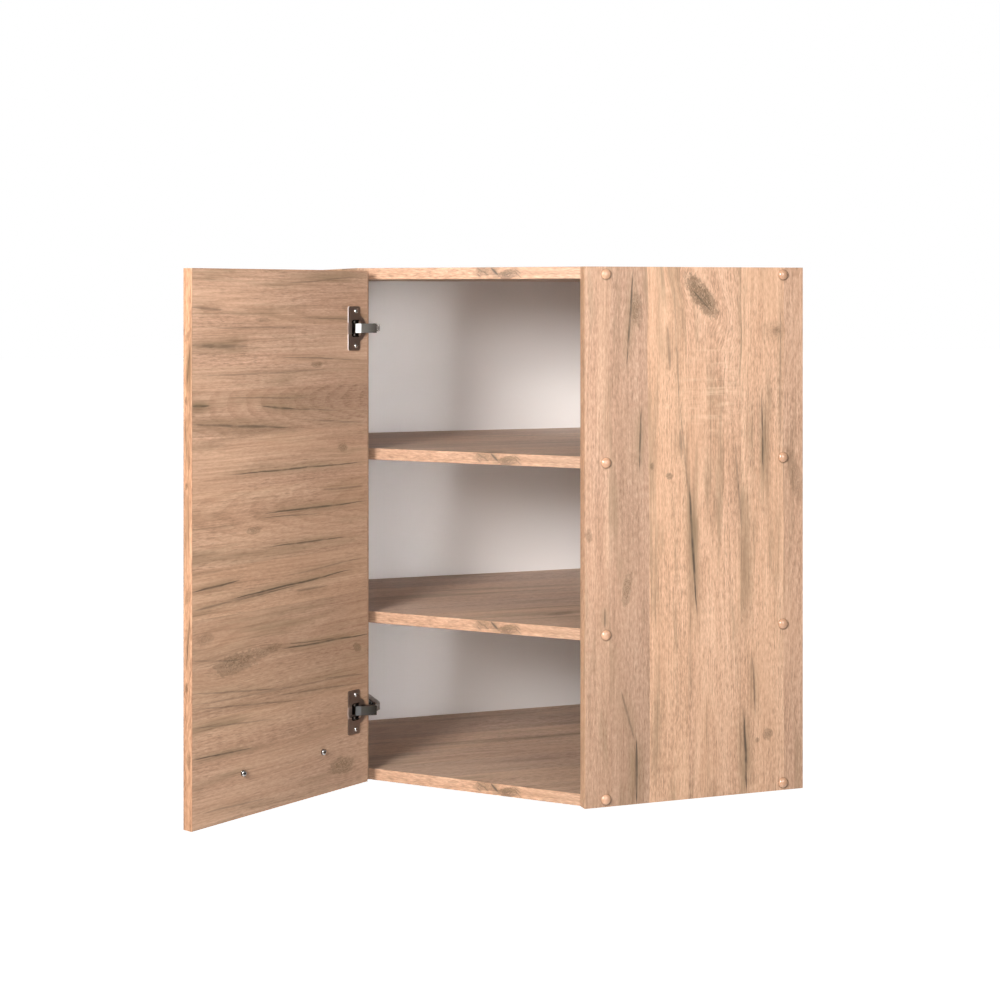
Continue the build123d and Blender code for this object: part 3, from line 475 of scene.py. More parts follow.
def grain_position(graph, across, along, start):
    """Millimetres across the grain, along it and through the board, from a start point."""
    axes = (across, along, along.cross(across))
    return graph.combine(*[graph.along(axis, start.dot(axis)) for axis in axes])


def marked(graph, position, knots, cracks):
    """Knots and cracks of one board: the pushed position and the knot, crack and halo masks."""
    fray = graph.noise(position, FRAY_WAVE, 4.0, 0.65)
    swirl = graph.noise(position, SWIRL_WAVE, 3.0, 0.7)
    wobble = graph.centred(graph.noise(position, WOBBLE_WAVE, 4.0, 0.5), CRACK_WOBBLE)
    breaks = graph.noise(position, BREAK_WAVE, 2.0)
    broken = graph.scaled(graph.step(breaks, 0.30, 0.55), 0.55, 0.45)
    push = knot_mask = crack_mask = halo = 0.0
    for across, along, half_width, half_length, turn, depth in knots:
        knot = place_group(
            graph, oak_knot, Position=position, Fray=fray, Swirl=swirl, Across=across, Along=along,
            Half_Width=half_width, Half_Length=half_length, Turn=math.radians(turn), Depth=depth,
        )
        knot_mask = graph.larger(knot_mask, knot["Mask"])
        push = graph.plus(push, knot["Push"])
    for across, along, half_length, half_width, lean, dark in cracks:
        crack = place_group(
            graph, oak_crack, Position=position, Wobble=wobble, Broken=broken, Across=across,
            Along=along, Half_Length=half_length, Half_Width=half_width, Lean=lean, Depth=dark,
        )
        crack_mask = graph.larger(crack_mask, crack["Mask"])
        halo = graph.larger(halo, crack["Halo"])
    pushed = graph.vector("ADD", position, graph.combine(push, 0.0, 0.0))
    return pushed, knot_mask, crack_mask, halo


CAP_FAR = 1000.0
CAP_SHADE_REACH = 2.0
CAP_SHADE_UNDER = 0.4
CAP_SHADE_DROP = 0.6
CAP_SHADE_DEPTH = 0.75


def cap_painted_shadow(graph, position, caps):
    """Painted shadow round each cap: a dark ring set off to the lower right, full at the cap, gone
    at its reach.
    """
    level = graph.vector("MULTIPLY", position, (1.0, 1.0, 0.0))
    nearest = CAP_FAR
    for across, along in caps:
        centre = (across + CAP_SHADE_DROP, along - CAP_SHADE_DROP, 0.0)
        off = graph.vector("LENGTH", graph.vector("SUBTRACT", level, centre))
        nearest = graph.smaller(nearest, off)
    ring = graph.step(nearest, CAP_R + CAP_SHADE_REACH, CAP_R - CAP_SHADE_UNDER)
    return graph.times(ring, CAP_SHADE_DEPTH)


def ray_figure(graph, position, rays):
    """Pale rays across the grain: a noise drawn out sideways, seen in soft ellipses."""
    place = graph.split(position)
    seen = 0.0
    for across, along, half_width, half_length, strength in rays:
        from_middle = graph.length(
            graph.over(graph.minus(place[0], across), half_width),
            graph.over(graph.minus(place[1], along), half_length),
        )
        seen = graph.larger(seen, graph.times(graph.step(from_middle, 1.0, 0.3), strength))
    wave = graph.noise(position, RAY_WAVE, 3.0, 0.6)
    return graph.times(graph.step(wave, 0.44, 0.62), seen)


PLAIN = even(1.0)
FOOT_REACH = 330.0
BOARD_BUMP = (0.35, 0.0004)
BOARD_GLOSS = 0.35
RAW_ROUGHER = 0.35


def oak_board(name, across, along, start, span, planks, knots=(), cracks=(), raw_edges=True,
              foot=1.0, tint=PLAIN, caps=(), fleck=1.55, rays=()):
    """Oak decor board; all places on it in millimetres.

    planks: (far edge across the grain, tone, rosiness); rings and colour change at each edge.
    knots: (across, along, half width, half length, turn in degrees, depth of colour).
    cracks: (across, along, half length, half width, lean over the half length, darkness).
    foot: painted shade, the tone at the board's start along the grain, from which it rises over
    FOOT_REACH.
    caps: (across, along) of each screw cap, round which a shadow is painted on the board.
    fleck: contrast of the short flecks.
    rays: (across, along, half width, half length, strength) of each patch with pale rays.
    """
    material, graph, shader = new_material(name)
    plain = grain_position(graph, across, along, start)
    position, knot_mask, crack_mask, halo = marked(graph, plain, knots, cracks)
    place = graph.split(position)

    stops, roses, low = [], [], 0.0
    for number, (edge, tone, rose) in enumerate(planks):
        seed = (number * SEED_STEP + SEED_FIRST) % 1.0
        stops.append((low / span, (tone, (low + edge) / 2 / span, seed)))
        roses.append((low / span, even(rose)))
        low = edge
    waver = graph.centred(graph.noise(position, WAVER_WAVE, 2.0), PLANK_WAVER)
    across_share = graph.over(graph.plus(place[0], waver), span)
    plank = graph.split(graph.ramp(across_share, stops, "CONSTANT"))
    rose = graph.split(graph.ramp(across_share, roses, "CONSTANT"))[0]
    # Painted shade: darker towards the board's start along the grain
    fade = graph.step(place[1], 0.0, FOOT_REACH)
    tone = graph.times(plank[0], graph.scaled(fade, 1.0 - foot, foot))
    oak = place_group(
        graph, oak_decor, Position=position, Tone=tone, Rose=rose, Seed=plank[2],
        Centre=graph.times(plank[1], span), Knot=knot_mask, Crack=crack_mask, Halo=halo,
        Fleck=fleck,
    )
    colour = graph.mix(1.0, oak["Color"], tint, "MULTIPLY")
    if rays:
        colour = graph.mix(ray_figure(graph, position, rays), colour, OAK_RAY)
    # Painted shadow round the screw caps
    if caps:
        colour = graph.mix(cap_painted_shadow(graph, plain, caps), colour, OAK_KNOT_AND_SHADOW)
    height = oak["Height"]
    roughness = oak["Roughness"]
    if raw_edges:
        chips = place_group(graph, raw_chipboard, Position=position)
        is_edge = graph.math("LESS_THAN", graph.size(graph.facing(along.cross(across))), 0.5)
        colour = graph.mix(is_edge, colour, chips["Color"])
        height = graph.plus(height, graph.times(chips["Height"], is_edge))
        roughness = graph.scaled(is_edge, RAW_ROUGHER, roughness)
    graph.fill(
        shader, Base_Color=colour, Roughness=roughness, Normal=graph.bump(height, *BOARD_BUMP),
        Specular_IOR_Level=BOARD_GLOSS,
    )
    return material


def clusters(values, gap):
    """Middles of the groups of positions whose neighbours lie no further apart than the gap."""
    ordered = np.unique(values)
    breaks = np.flatnonzero(np.diff(ordered) > gap) + 1
    return [(group[0] + group[-1]) / 2 for group in np.split(ordered, breaks)]


CAP_GAP = 0.02


def cap_places():
    """Caps on the right side panel: places along the wall and up it, and radius, in metres."""
    places = vertices("screw_caps")
    right = places[places[:, 1] <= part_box("side_panel_right")[0].y + TOUCHING]
    columns = clusters(right[:, 0], CAP_GAP)
    rows = clusters(right[:, 2], CAP_GAP)
    return columns, rows, float(rows[0] - right[:, 2].min())


cap_columns, cap_rows, cap_radius = cap_places()
CAP_R = MM * cap_radius

# Boards seen in the photograph, with their knots and cracks in millimetres on the board
SIDE_START = Vector((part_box("edge_band_right")[0].x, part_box("side_panel_right")[0].y, 0))
SIDE_SPAN = 400.0
SIDE_TINT = (0.985, 0.965, 0.975)
side_caps = [(MM * (x - SIDE_START.x), MM * z) for x in cap_columns for z in cap_rows]
SIDE_PLANKS = [
    (36, 0.83, 0.6), (88, 0.81, 0.9), (148, 1.05, 0.0), (229, 1.05, 0.3), (294, 1.06, 0.2),
    (340, 0.95, 0.7),
]
SIDE_KNOTS = [
    (171, 681, 14, 37, -38, 1.15), (160, 698, 5, 7, -38, 1.2), (75, 663, 9, 24, 0, 0.85),
    (123, 438, 5, 5, 45, 1.0), (284, 633, 6, 7, 20, 0.8), (280, 632, 20, 15, 0, 0.3),
    (61, 289, 7, 27, 8, 0.85), (271, 79, 8, 8, 0, 0.8), (255, 72, 3, 4, 0, 0.8),
    (97, 452, 3, 5, 0, 1.0), (6, 362, 5, 9, 0, 0.6), (314, 430, 10, 36, -12, 0.5),
    # The wide faint knot at (40, 110) is painted shade over the board's lower front
    (40, 110, 60, 190, 0, 0.20), (61, 410, 25, 150, 0, 0.28),
]
SIDE_CRACKS = [
    (171, 675, 15, 1.0, -15.0, 0.9), (178, 676, 12, 0.7, -11.0, 0.6), (65, 650, 66, 1.3, 4.5, 0.9),
    (80, 488, 44, 1.2, 1.5, 0.9), (263, 492, 55, 1.0, -1.5, 0.9), (290, 573, 108, 0.7, 0.0, 0.5),
    (158, 338, 92, 1.5, -6.5, 1.0), (122, 611, 31, 2.0, -1.5, 0.5), (140, 481, 22, 2.0, -1.0, 0.5),
    (29, 252, 14, 0.9, 0.0, 0.8), (237, 57, 56, 1.6, -2.0, 1.0), (75, 44, 46, 1.6, -0.5, 1.0),
    (250, 147, 42, 1.2, -3.0, 0.6), (62, 120, 36, 1.6, -10.0, 0.5), (134, 600, 95, 1.0, -4.0, 0.35),
    (147, 452, 95, 1.2, -10.0, 0.4), (226, 420, 60, 1.2, -5.0, 0.45),
]
SIDE_RAYS = [(187, 558, 62, 84, 0.36)]

door_edge = reach("door_bands_upright", DOOR_ALONG)[0]
DOOR_START = DOOR_ALONG * door_edge
DOOR_SPAN = 760.0
DOOR_TINT = (0.975, 0.96, 0.975)
DOOR_PLANKS = [
    (90, 0.93, 0.5), (140, 0.90, 0.2), (200, 0.82, 0.1), (268, 0.86, 0.3), (330, 0.93, 0.1),
    (430, 0.94, 0.3), (500, 0.96, 0.5), (556, 0.87, 0.6), (590, 0.96, 0.7), (640, 1.07, 0.9),
    (740, 1.10, 0.8),
]
DOOR_KNOTS = [
    (588, 100, 4, 10, 0, 0.8), (649, 200, 3, 14, 0, 0.6), (472, 50, 6, 10, 0, 0.8),
    (375, 216, 5, 14, 0, 0.7), (206, 246, 14, 42, -8, 0.85), (214, 198, 7, 34, -6, 0.75),
    (194, 21, 6, 9, 30, 1.0), (36, 50, 12, 24, 6, 0.9), (244, 300, 8, 14, 0, 0.5),
    (540, 120, 14, 90, 0, 0.3), (505, 200, 9, 70, 0, 0.3),
]
DOOR_CRACKS = [
    (395, 101, 100, 1.1, 0.0, 1.0), (450, 132, 132, 1.0, 0.0, 0.9), (512, 237, 88, 1.7, 6.5, 0.7),
    (533, 171, 33, 1.2, 3.5, 0.9), (350, 116, 76, 1.1, 0.0, 0.8), (617, 275, 50, 2.4, 1.0, 0.5),
    (665, 297, 28, 1.6, 1.5, 0.5), (541, 308, 16, 1.1, 0.0, 0.9), (309, 282, 42, 1.1, -3.0, 0.9),
    (296, 147, 118, 1.1, -7.5, 1.0), (290, 190, 62, 0.8, -4.5, 0.7), (211, 82, 92, 1.1, 1.5, 1.0),
    (215, 108, 46, 0.7, 2.0, 0.8), (93, 271, 54, 0.9, 2.0, 0.9), (288, 240, 70, 1.0, -4.0, 0.5),
    (160, 170, 150, 1.3, 3.0, 0.35), (640, 210, 90, 1.2, 1.0, 0.35),
    (580, 190, 120, 1.1, 0.0, 0.35), (22, 250, 60, 1.0, 2.0, 0.4), (388, 150, 60, 0.7, 2.0, 0.6),
    (528, 120, 60, 0.8, 4.0, 0.6), (510, 70, 64, 1.2, 5.0, 0.4), (417, 49, 43, 1.5, 1.0, 0.45),
    (596, 89, 83, 0.9, 3.5, 0.55), (650, 70, 64, 0.8, 2.0, 0.5), (703, 84, 78, 0.9, -5.5, 0.4),
    (547, 189, 75, 1.0, 4.0, 0.45), (313, 84, 78, 1.0, -4.5, 0.45), (169, 243, 80, 1.1, 9.0, 0.5),
    (148, 94, 88, 1.1, 5.0, 0.5), (148, 219, 105, 0.9, 10.5, 0.45), (158, 46, 40, 1.2, 2.5, 0.5),
    (284, 294, 26, 1.3, -2.0, 0.5), (287, 110, 31, 1.5, 0.0, 0.5), (128, 250, 74, 0.8, 6.5, 0.4),
    (214, 281, 42, 1.2, 5.0, 0.4),
]

SHELF_START = Vector((cad_bounds[0][0], cad_bounds[0][1], 0))
SHELF_SHIFT = Vector((0.11, 0.017, 0))
SHELF_SPAN = 640.0
# Painted shade: the shelves, top and bottom are cooler and less red than the side and door
SHELF_TINT = (0.86, 0.94, 1.03)
SHELF_PLANKS = [
    (70, 0.90, 0.6), (150, 0.95, 0.4), (230, 0.87, 0.9), (300, 0.92, 0.6), (390, 0.95, 0.3),
    (470, 0.88, 0.9), (620, 0.92, 0.6),
]
SHELF_CRACKS = [
    (150, 560, 120, 1.8, 4.0, 0.6), (238, 640, 90, 1.6, -3.0, 0.6), (330, 500, 110, 1.6, 5.0, 0.6),
]

# Marks for faces that the photograph does not show
HIDDEN_KNOTS = [(90, 210, 10, 26, 15, 0.8), (230, 520, 12, 30, -20, 0.9)]
HIDDEN_CRACKS = [
    (60, 500, 90, 1.4, 5.0, 0.8), (170, 160, 110, 1.4, -4.0, 0.9), (262, 400, 70, 1.2, 2.0, 0.7),
]
left_start = Vector((0, reach("edge_band_left", WALL_Y)[0], 0))

oak = {
    "side_panel_right": oak_board(
        "oak_side_right", WALL_X, UP, SIDE_START, SIDE_SPAN, SIDE_PLANKS, SIDE_KNOTS, SIDE_CRACKS,
        foot=0.90, tint=SIDE_TINT, caps=side_caps, rays=SIDE_RAYS,
    ),
    "side_panel_left": oak_board(
        "oak_side_left", WALL_Y, UP, left_start, SIDE_SPAN, SIDE_PLANKS, HIDDEN_KNOTS,
        HIDDEN_CRACKS,
    ),
    "door_panel": oak_board(
        "oak_door", UP, DOOR_ALONG, DOOR_START, DOOR_SPAN, DOOR_PLANKS, DOOR_KNOTS, DOOR_CRACKS,
        raw_edges=False, foot=0.72, tint=DOOR_TINT, fleck=0.95,
    ),
}
for number, board in enumerate(("top_panel", "bottom_panel", "shelf_upper", "shelf_lower")):
    oak[board] = oak_board(
        "oak_" + board, WALL_Y, WALL_X, SHELF_START + SHELF_SHIFT * number, SHELF_SPAN,
        SHELF_PLANKS, HIDDEN_KNOTS[:1], SHELF_CRACKS, tint=SHELF_TINT,
    )


# Edge bands
BAND_PALE = (0.80, 0.768, 0.770)
BAND_SIDE = (0.74, 0.710, 0.695)
BAND_GOLD = (0.82, 0.715, 0.655)
BAND_LOOK = {"Rose": 0.2, "Centre": 30.0, "Seed": 0.37, "Fleck": 1.8}
BAND_BUMP = (0.3, 0.0003)


def oak_band(name, tint, across, along, start, knots=(), cracks=(), levels=(), tones=(1.0,)):
    """Oak decor edge band.

    levels: heights of the boards' undersides, so that bands one over another look alike.
    tones: one for each level, painted lighter or darker for the light that falls on each band.
    """
    material, graph, shader = new_material(name)
    position = grain_position(graph, across, along, start)
    place = graph.split(position)
    lift = 0.0
    tone = tones[0]
    for number, (low, high) in enumerate(zip(levels, levels[1:])):
        above = graph.math("GREATER_THAN", place[0], (low + high) / 2)
        lift = graph.scaled(above, high - low, lift)
        tone = graph.scaled(above, tones[number + 1] - tones[number], tone)
    if levels:
        position = graph.combine(graph.minus(place[0], lift), place[1], place[2])
    position, knot_mask, crack_mask, halo = marked(graph, position, knots, cracks)
    oak = place_group(
        graph, oak_decor, Position=position, Tone=tone, Knot=knot_mask, Crack=crack_mask,
        Halo=halo, **BAND_LOOK,
    )
    graph.fill(
        shader, Base_Color=graph.mix(1.0, oak["Color"], tint, "MULTIPLY"),
        Roughness=oak["Roughness"], Normal=graph.bump(oak["Height"], *BAND_BUMP),
    )
    return material


board_stack = ("bottom_panel", "shelf_lower", "shelf_upper", "top_panel")
shelf_levels = [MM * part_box(board)[0].z for board in board_stack]
diagonal_start = DIAGONAL * reach("edge_bands_diagonal", DIAGONAL)[0]
# Painted light and shade: a tone for each front band, from the bottom board up
DIAGONAL_TONES = (0.95, 0.855, 0.80, 1.02)
DIAGONAL_KNOTS = [(6, 218, 8, 15, 10, 1.25), (11, 182, 6, 18, 8, 0.75)]
DIAGONAL_CRACKS = [
    (10, 198, 6, 1.9, -5.0, 1.0), (12, 176, 5, 0.8, -3.5, 0.6), (8, 184, 5, 0.8, -3.5, 0.6),
    (5, 174, 4, 0.7, -3.0, 0.5), (5, 234, 5, 0.7, -4.0, 0.6), (11, 232, 6, 0.7, -4.0, 0.5),
    (6, 216, 4, 0.8, 2.0, 0.5),
]
band_diagonal = oak_band(
    "oak_edge_diagonal", BAND_PALE, UP, DIAGONAL, diagonal_start, DIAGONAL_KNOTS, DIAGONAL_CRACKS,
    shelf_levels, DIAGONAL_TONES,
)
FRONT_EDGE_KNOTS = [(2, 655, 4, 16, 0, 0.9), (4, 300, 3, 9, 0, 0.7)]
FRONT_EDGE_CRACKS = [
    (3, 520, 60, 0.7, 2.0, 0.6), (5, 420, 40, 0.6, -2.0, 0.6), (2, 180, 70, 0.7, 2.0, 0.6),
]
band_side = oak_band(
    "oak_edge_side", BAND_SIDE, INTO, UP, ORIGIN, FRONT_EDGE_KNOTS, FRONT_EDGE_CRACKS
)
FREE_EDGE_KNOTS = [
    (8, 630, 4, 9, 30, 0.6), (5, 548, 3, 5, 0, 0.8), (11, 470, 3, 9, 0, 0.7),
    (6, 440, 3, 6, 20, 0.9), (9, 300, 5, 11, 20, 0.6), (6, 185, 3, 7, 0, 0.9),
    (10, 92, 4, 10, 0, 0.7), (4, 370, 2, 14, 0, 0.5),
]
FREE_EDGE_CRACKS = [
    (10, 590, 24, 0.8, 3.0, 0.7), (5, 500, 30, 0.8, -2.0, 0.6), (9, 240, 34, 0.8, 3.0, 0.7),
]
free_edge_start = DOOR_INTO * reach("door_bands_upright", DOOR_INTO)[0]
band_door_upright = oak_band(
    "oak_edge_door", BAND_GOLD, DOOR_INTO, UP, free_edge_start, FREE_EDGE_KNOTS, FREE_EDGE_CRACKS
)
band_door_level = oak_band("oak_edge_door_level", BAND_GOLD, DOOR_INTO, DOOR_ALONG, ORIGIN)


# Back sheets: white laminate in front, brown fibre behind
SHEET_WHITE = [(0.3, (0.83, 0.815, 0.81)), (0.7, (0.865, 0.85, 0.845))]
SHEET_BROWN = [
    (0.28, (0.11, 0.062, 0.033)), (0.5, (0.22, 0.135, 0.078)), (0.74, (0.36, 0.24, 0.15)),
]
SHEET_STAIN = (0.62, 0.58, 0.54)
SHEET_BUMP = (0.12, 0.0002)
STAIN_WAVE = (0.007, 0.007, 0.004)
SCREEN_WAVE = 2.2


def sheet_material(name, front):
    """Thin fibreboard: white laminate with faint orange peel; behind, a screen's print in felt."""
    material, graph, shader = new_material(name)
    point = graph.point()
    peel = graph.noise(point, even(0.4), 3.0)
    cloud = graph.noise(point, even(0.006), 2.0)
    felt = graph.noise(point, even(0.16), 5.0, 0.75)
    stain = graph.noise(point, STAIN_WAVE, 4.0, 0.6)
    weave = graph.vector("SINE", graph.vector("MULTIPLY", point, even(SCREEN_WAVE)))
    wires = graph.split(weave)
    screen = graph.times(graph.plus(wires[0], wires[1]), wires[2])
    fibre = graph.scaled(screen, 0.05, felt)
    brown = graph.ramp(fibre, SHEET_BROWN)
    stained = graph.mix(1.0, brown, SHEET_STAIN, "MULTIPLY")
    brown = graph.mix(graph.step(stain, 0.35, 0.75), brown, stained)
    is_front = graph.math("GREATER_THAN", graph.facing(front), 0.5)
    graph.fill(
        shader, Base_Color=graph.mix(is_front, brown, graph.ramp(cloud, SHEET_WHITE)),
        Roughness=graph.scaled(is_front, -0.40, 0.85),
        Normal=graph.bump(graph.plus(peel, fibre), *SHEET_BUMP),
    )
    return material


CAP_TONES = [(0.3, (0.57, 0.322, 0.197)), (0.7, (0.64, 0.378, 0.240))]
FINE_BUMP = (0.05, 0.0001)


def cap_material():
    """Moulded plastic in the decor's peach tone: faint flow clouds, a fine grain in its gloss."""
    material, graph, shader = new_material("cap_plastic")
    point = graph.point()
    cloud = graph.noise(point, even(0.12), 3.0)
    grain = graph.noise(point, even(2.5), 2.0)
    graph.fill(
        shader, Base_Color=graph.ramp(cloud, CAP_TONES), Roughness=graph.scaled(grain, 0.08, 0.22),
        Normal=graph.bump(grain, *FINE_BUMP), Coat_Weight=1.0, Coat_Roughness=0.20,
    )
    return material


METAL_BUMP = (0.08, 0.0001)
DRAWN_WAVE = (0.5, 0.5, 3.0)


def metal_material(name, dark, light, rough, stretch):
    """Plated steel: two tones in fine drawn streaks, which also break up its roughness."""
    material, graph, shader = new_material(name)
    point = graph.point()
    streak = graph.noise(point, stretch, 4.0, 0.6)
    smudge = graph.noise(point, even(0.09), 3.0)
    tone = graph.plus(graph.centred(streak, 0.8), smudge, clamp=True)
    graph.fill(
        shader, Base_Color=graph.ramp(tone, [(0.2, dark), (0.8, light)]),
        Roughness=graph.scaled(streak, 0.18, rough), Normal=graph.bump(streak, *METAL_BUMP),
        Metallic=1.0,
    )
    return material


# Hinges, in millimetres: heights, and places along the door from its edge
hinge_cups = ("hinge_cup_lower", "hinge_cup_upper")
HINGE_MIDDLES = [MM * sum(corner.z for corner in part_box(cup)) / 2 for cup in hinge_cups]
LOWER_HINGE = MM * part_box("hinge_cup_lower")[1].z
UPPER_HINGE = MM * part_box("hinge_cup_upper")[0].z
flange_face = reach("hinge_cup_upper", DOOR_INTO)[1]
FLANGE_FAR = MM * (reach("hinge_cup_upper", DOOR_ALONG)[1] - door_edge)
FLANGE_ROUND = (3.2, 2.9)
LINK_FAR = MM * (reach("hinge_cup_link_upper", DOOR_ALONG)[0] - door_edge)
# Start of the painted reflection on the link, from the door's edge
GLINT_FROM = 17.0
MOUTH_MIDDLE = 25.2
MOUTH_HALF = (8.2, 11.9)
MOUTH_ROUND = 3.6
WAY_OUT = 33.0
WAY_OUT_HALF = (8.2, 7.8)
WELL_FLOOR = 20.0
WELL_DEPTH = (3.0, 5.0)
# Two light spots painted in the mouth: glints of the pins there
PIN_GLINT_ALONG = 25.5
PIN_GLINT_UP = 9.0
PIN_GLINT_FLAT = 0.8
PIN_GLINT_R = (1.7, 1.1)
BLUR = 0.3
CUP_TONES = [(0.3, (0.28, 0.215, 0.18)), (0.7, (0.40, 0.315, 0.27))]
# Far edge of the flange: a painted highlight on the upper hinge, painted dark on the lower
CUP_EDGE_SHADED = (0.10, 0.068, 0.052)
CUP_EDGE_HIGHLIGHT = (0.62, 0.605, 0.61)
# Mouth: painted shade, near black
CUP_MOUTH_SHADE = (0.012, 0.011, 0.010)
CUP_WAY_OUT = (0.30, 0.225, 0.19)
# Painted pin glints
CUP_PIN_GLINT = (0.62, 0.60, 0.58)
# Link tones: the dark one is painted shade towards its end away from the cup
LINK_SHADE = (0.030, 0.022, 0.018)
LINK_GREY = (0.135, 0.125, 0.112)
LINK_STREAK = (0.05, 0.045, 0.04)
# Painted reflection over the link's end at the cup: dark grey on the lower hinge, white on the
# upper
GLINT_LOWER = even(0.09)
GLINT_UPPER = (0.93, 0.93, 0.92)


def cup_material():
    """Nickel cup: smoky flange with a painted highlight on its far edge, painted shade in its mouth
    with its way out, and two painted pin glints.
    """
    material, graph, shader = new_material("hinge_cup_nickel")
    streak = graph.noise(graph.point(), DRAWN_WAVE, 4.0, 0.6)
    along = graph.along(DOOR_ALONG, door_edge)
    high = graph.along(UP, 0.0)
    upper = graph.step(high, LOWER_HINGE, UPPER_HINGE)
    up = graph.smaller(*[graph.size(graph.minus(high, middle)) for middle in HINGE_MIDDLES])

    # Painted highlight on the upper hinge's far edge, painted dark on the lower
    is_edge = graph.math("LESS_THAN", graph.facing(DOOR_INTO), 0.5)
    is_far = graph.step(along, *[FLANGE_FAR - inside for inside in FLANGE_ROUND])
    far_edge_highlight = graph.times(is_edge, is_far)
    edge_light_tone = graph.mix(upper, CUP_EDGE_SHADED, CUP_EDGE_HIGHLIGHT)
    colour = graph.mix(far_edge_highlight, graph.ramp(streak, CUP_TONES), edge_light_tone)

    # Painted shade: the mouth and the well seen through it, near black
    side = graph.size(graph.minus(along, MOUTH_MIDDLE))
    corner = graph.length(
        graph.larger(graph.minus(side, MOUTH_HALF[0] - MOUTH_ROUND), 0.0),
        graph.larger(graph.minus(up, MOUTH_HALF[1] - MOUTH_ROUND), 0.0),
    )
    mouth = graph.step(corner, MOUTH_ROUND + BLUR, MOUTH_ROUND - BLUR)
    colour = graph.mix(mouth, colour, CUP_MOUTH_SHADE)

    depth = graph.along(-DOOR_INTO, -flange_face)
    floor = graph.times(graph.step(depth, *WELL_DEPTH), WELL_FLOOR - WAY_OUT)
    from_way = graph.minus(graph.minus(along, floor), WAY_OUT)
    way_out = graph.times(graph.step(from_way, -BLUR, BLUR), graph.step(up, *WAY_OUT_HALF))
    colour = graph.mix(way_out, colour, CUP_WAY_OUT)

    # Painted pin glints in the mouth
    from_pin_glint = graph.length(
        graph.minus(along, PIN_GLINT_ALONG), graph.times(graph.minus(up, PIN_GLINT_UP), PIN_GLINT_FLAT)
    )
    colour = graph.mix(graph.step(from_pin_glint, *PIN_GLINT_R), colour, CUP_PIN_GLINT)
    dull = graph.larger(way_out, far_edge_highlight)
    graph.fill(
        shader, Base_Color=colour, Roughness=graph.scaled(streak, 0.20, 0.34),
        Normal=graph.bump(streak, *METAL_BUMP), Metallic=graph.scaled(dull, -0.9, 1.0),
    )
    return material


def link_material():
    """Smoky nickel link, painted darker as shade towards its end away from the cup, with a painted
    reflection over its end at the cup, white above and grey below.
    """
    material, graph, shader = new_material("hinge_link_nickel")
    streak = graph.noise(graph.point(), DRAWN_WAVE, 4.0, 0.6)
    along = graph.along(DOOR_ALONG, door_edge)
    upper = graph.step(graph.along(UP, 0.0), LOWER_HINGE, UPPER_HINGE)
    # Painted reflection over the link's end at the cup; painted shade towards its other end
    end_glint = graph.step(along, GLINT_FROM - BLUR, GLINT_FROM + BLUR)
    grey = graph.mix(graph.step(along, LINK_FAR, GLINT_FROM), LINK_SHADE, LINK_GREY)
    grey = graph.mix(graph.times(streak, 0.5), grey, LINK_STREAK)
    end_glint_tone = graph.mix(upper, GLINT_LOWER, GLINT_UPPER)
    graph.fill(
        shader, Base_Color=graph.mix(end_glint, grey, end_glint_tone),
        Roughness=graph.scaled(streak, 0.15, 0.26), Metallic=graph.minus(1.0, end_glint),
        Normal=graph.bump(streak, *METAL_BUMP),
    )
    return material


HEAD_TONES = [(0.3, (0.62, 0.61, 0.60)), (0.7, (0.88, 0.87, 0.86))]
HEAD_RECESS_SHADE = (0.008, 0.007, 0.006)


def head_material():
    """Polished screw head with fine turning marks; its own attribute marks the recess, painted
    black as its shade.
    """
    material, graph, shader = new_material("screw_polish")
    marks = graph.noise(graph.point(), even(1.2), 3.0)
    # Painted shade: the recess is black
    recess = graph.step(graph.add("Attribute", attribute_name="recess").outputs["Fac"], 0.2, 0.8)
    graph.fill(
        shader, Base_Color=graph.mix(recess, graph.ramp(marks, HEAD_TONES), HEAD_RECESS_SHADE),
        Roughness=graph.scaled(marks, 0.10, 0.10), Normal=graph.bump(marks, *FINE_BUMP),
        Metallic=1.0,
    )
    return material


nickel = metal_material(
    "hinge_nickel", (0.10, 0.085, 0.075), (0.20, 0.175, 0.16), 0.24, DRAWN_WAVE
)
# Painted reflections: arms and plates swing from near black to pale in blobs, standing in for
# chrome reflections
arm_nickel_glints = metal_material(
    "hinge_arm_painted_glints", (0.03, 0.025, 0.02), (0.72, 0.69, 0.67), 0.12, even(0.35)
)
cup_nickel = cup_material()
link_nickel = link_material()
bright_steel = metal_material(
    "screw_chrome", (0.50, 0.49, 0.48), (0.75, 0.74, 0.73), 0.12, even(1.2)
)
head_polish = head_material()
zinc = metal_material("zinc_steel", (0.45, 0.45, 0.46), (0.66, 0.66, 0.68), 0.30, even(0.4))
brushed = metal_material("handle_metal", (0.44, 0.43, 0.42), (0.62, 0.61, 0.60), 0.28, even(3.0))
cap_plastic = cap_material()

finish = dict(oak)
for material, nodes in (
    (band_diagonal, ["edge_bands_diagonal"]),
    (band_side, ["edge_band_right", "edge_band_left"]),
    (band_door_upright, ["door_bands_upright"]),
    (band_door_level, ["door_bands_level"]),
    (sheet_material("white_sheet_right", -WALL_X), ["back_sheet_right"]),
    (sheet_material("white_sheet_left", -WALL_Y), ["back_sheet_left"]),
    (cap_plastic, ["screw_caps"]),
    (brushed, ["handle"]),
    (zinc, ["joining_screws", "hanger_right", "hanger_left", "hanger_screws"]),
    (cup_nickel, hinge_cups),
    (link_nickel, ["hinge_cup_link_lower", "hinge_cup_link_upper"]),
    (arm_nickel_glints, ["hinge_arm_lower", "hinge_arm_upper", "hinge_plate_lower", "hinge_plate_upper"]),
    (bright_steel, ["hinge_cup_screws", "hinge_plate_screws", "hinge_arm_screws"]),
):
    finish.update(dict.fromkeys(nodes, material))
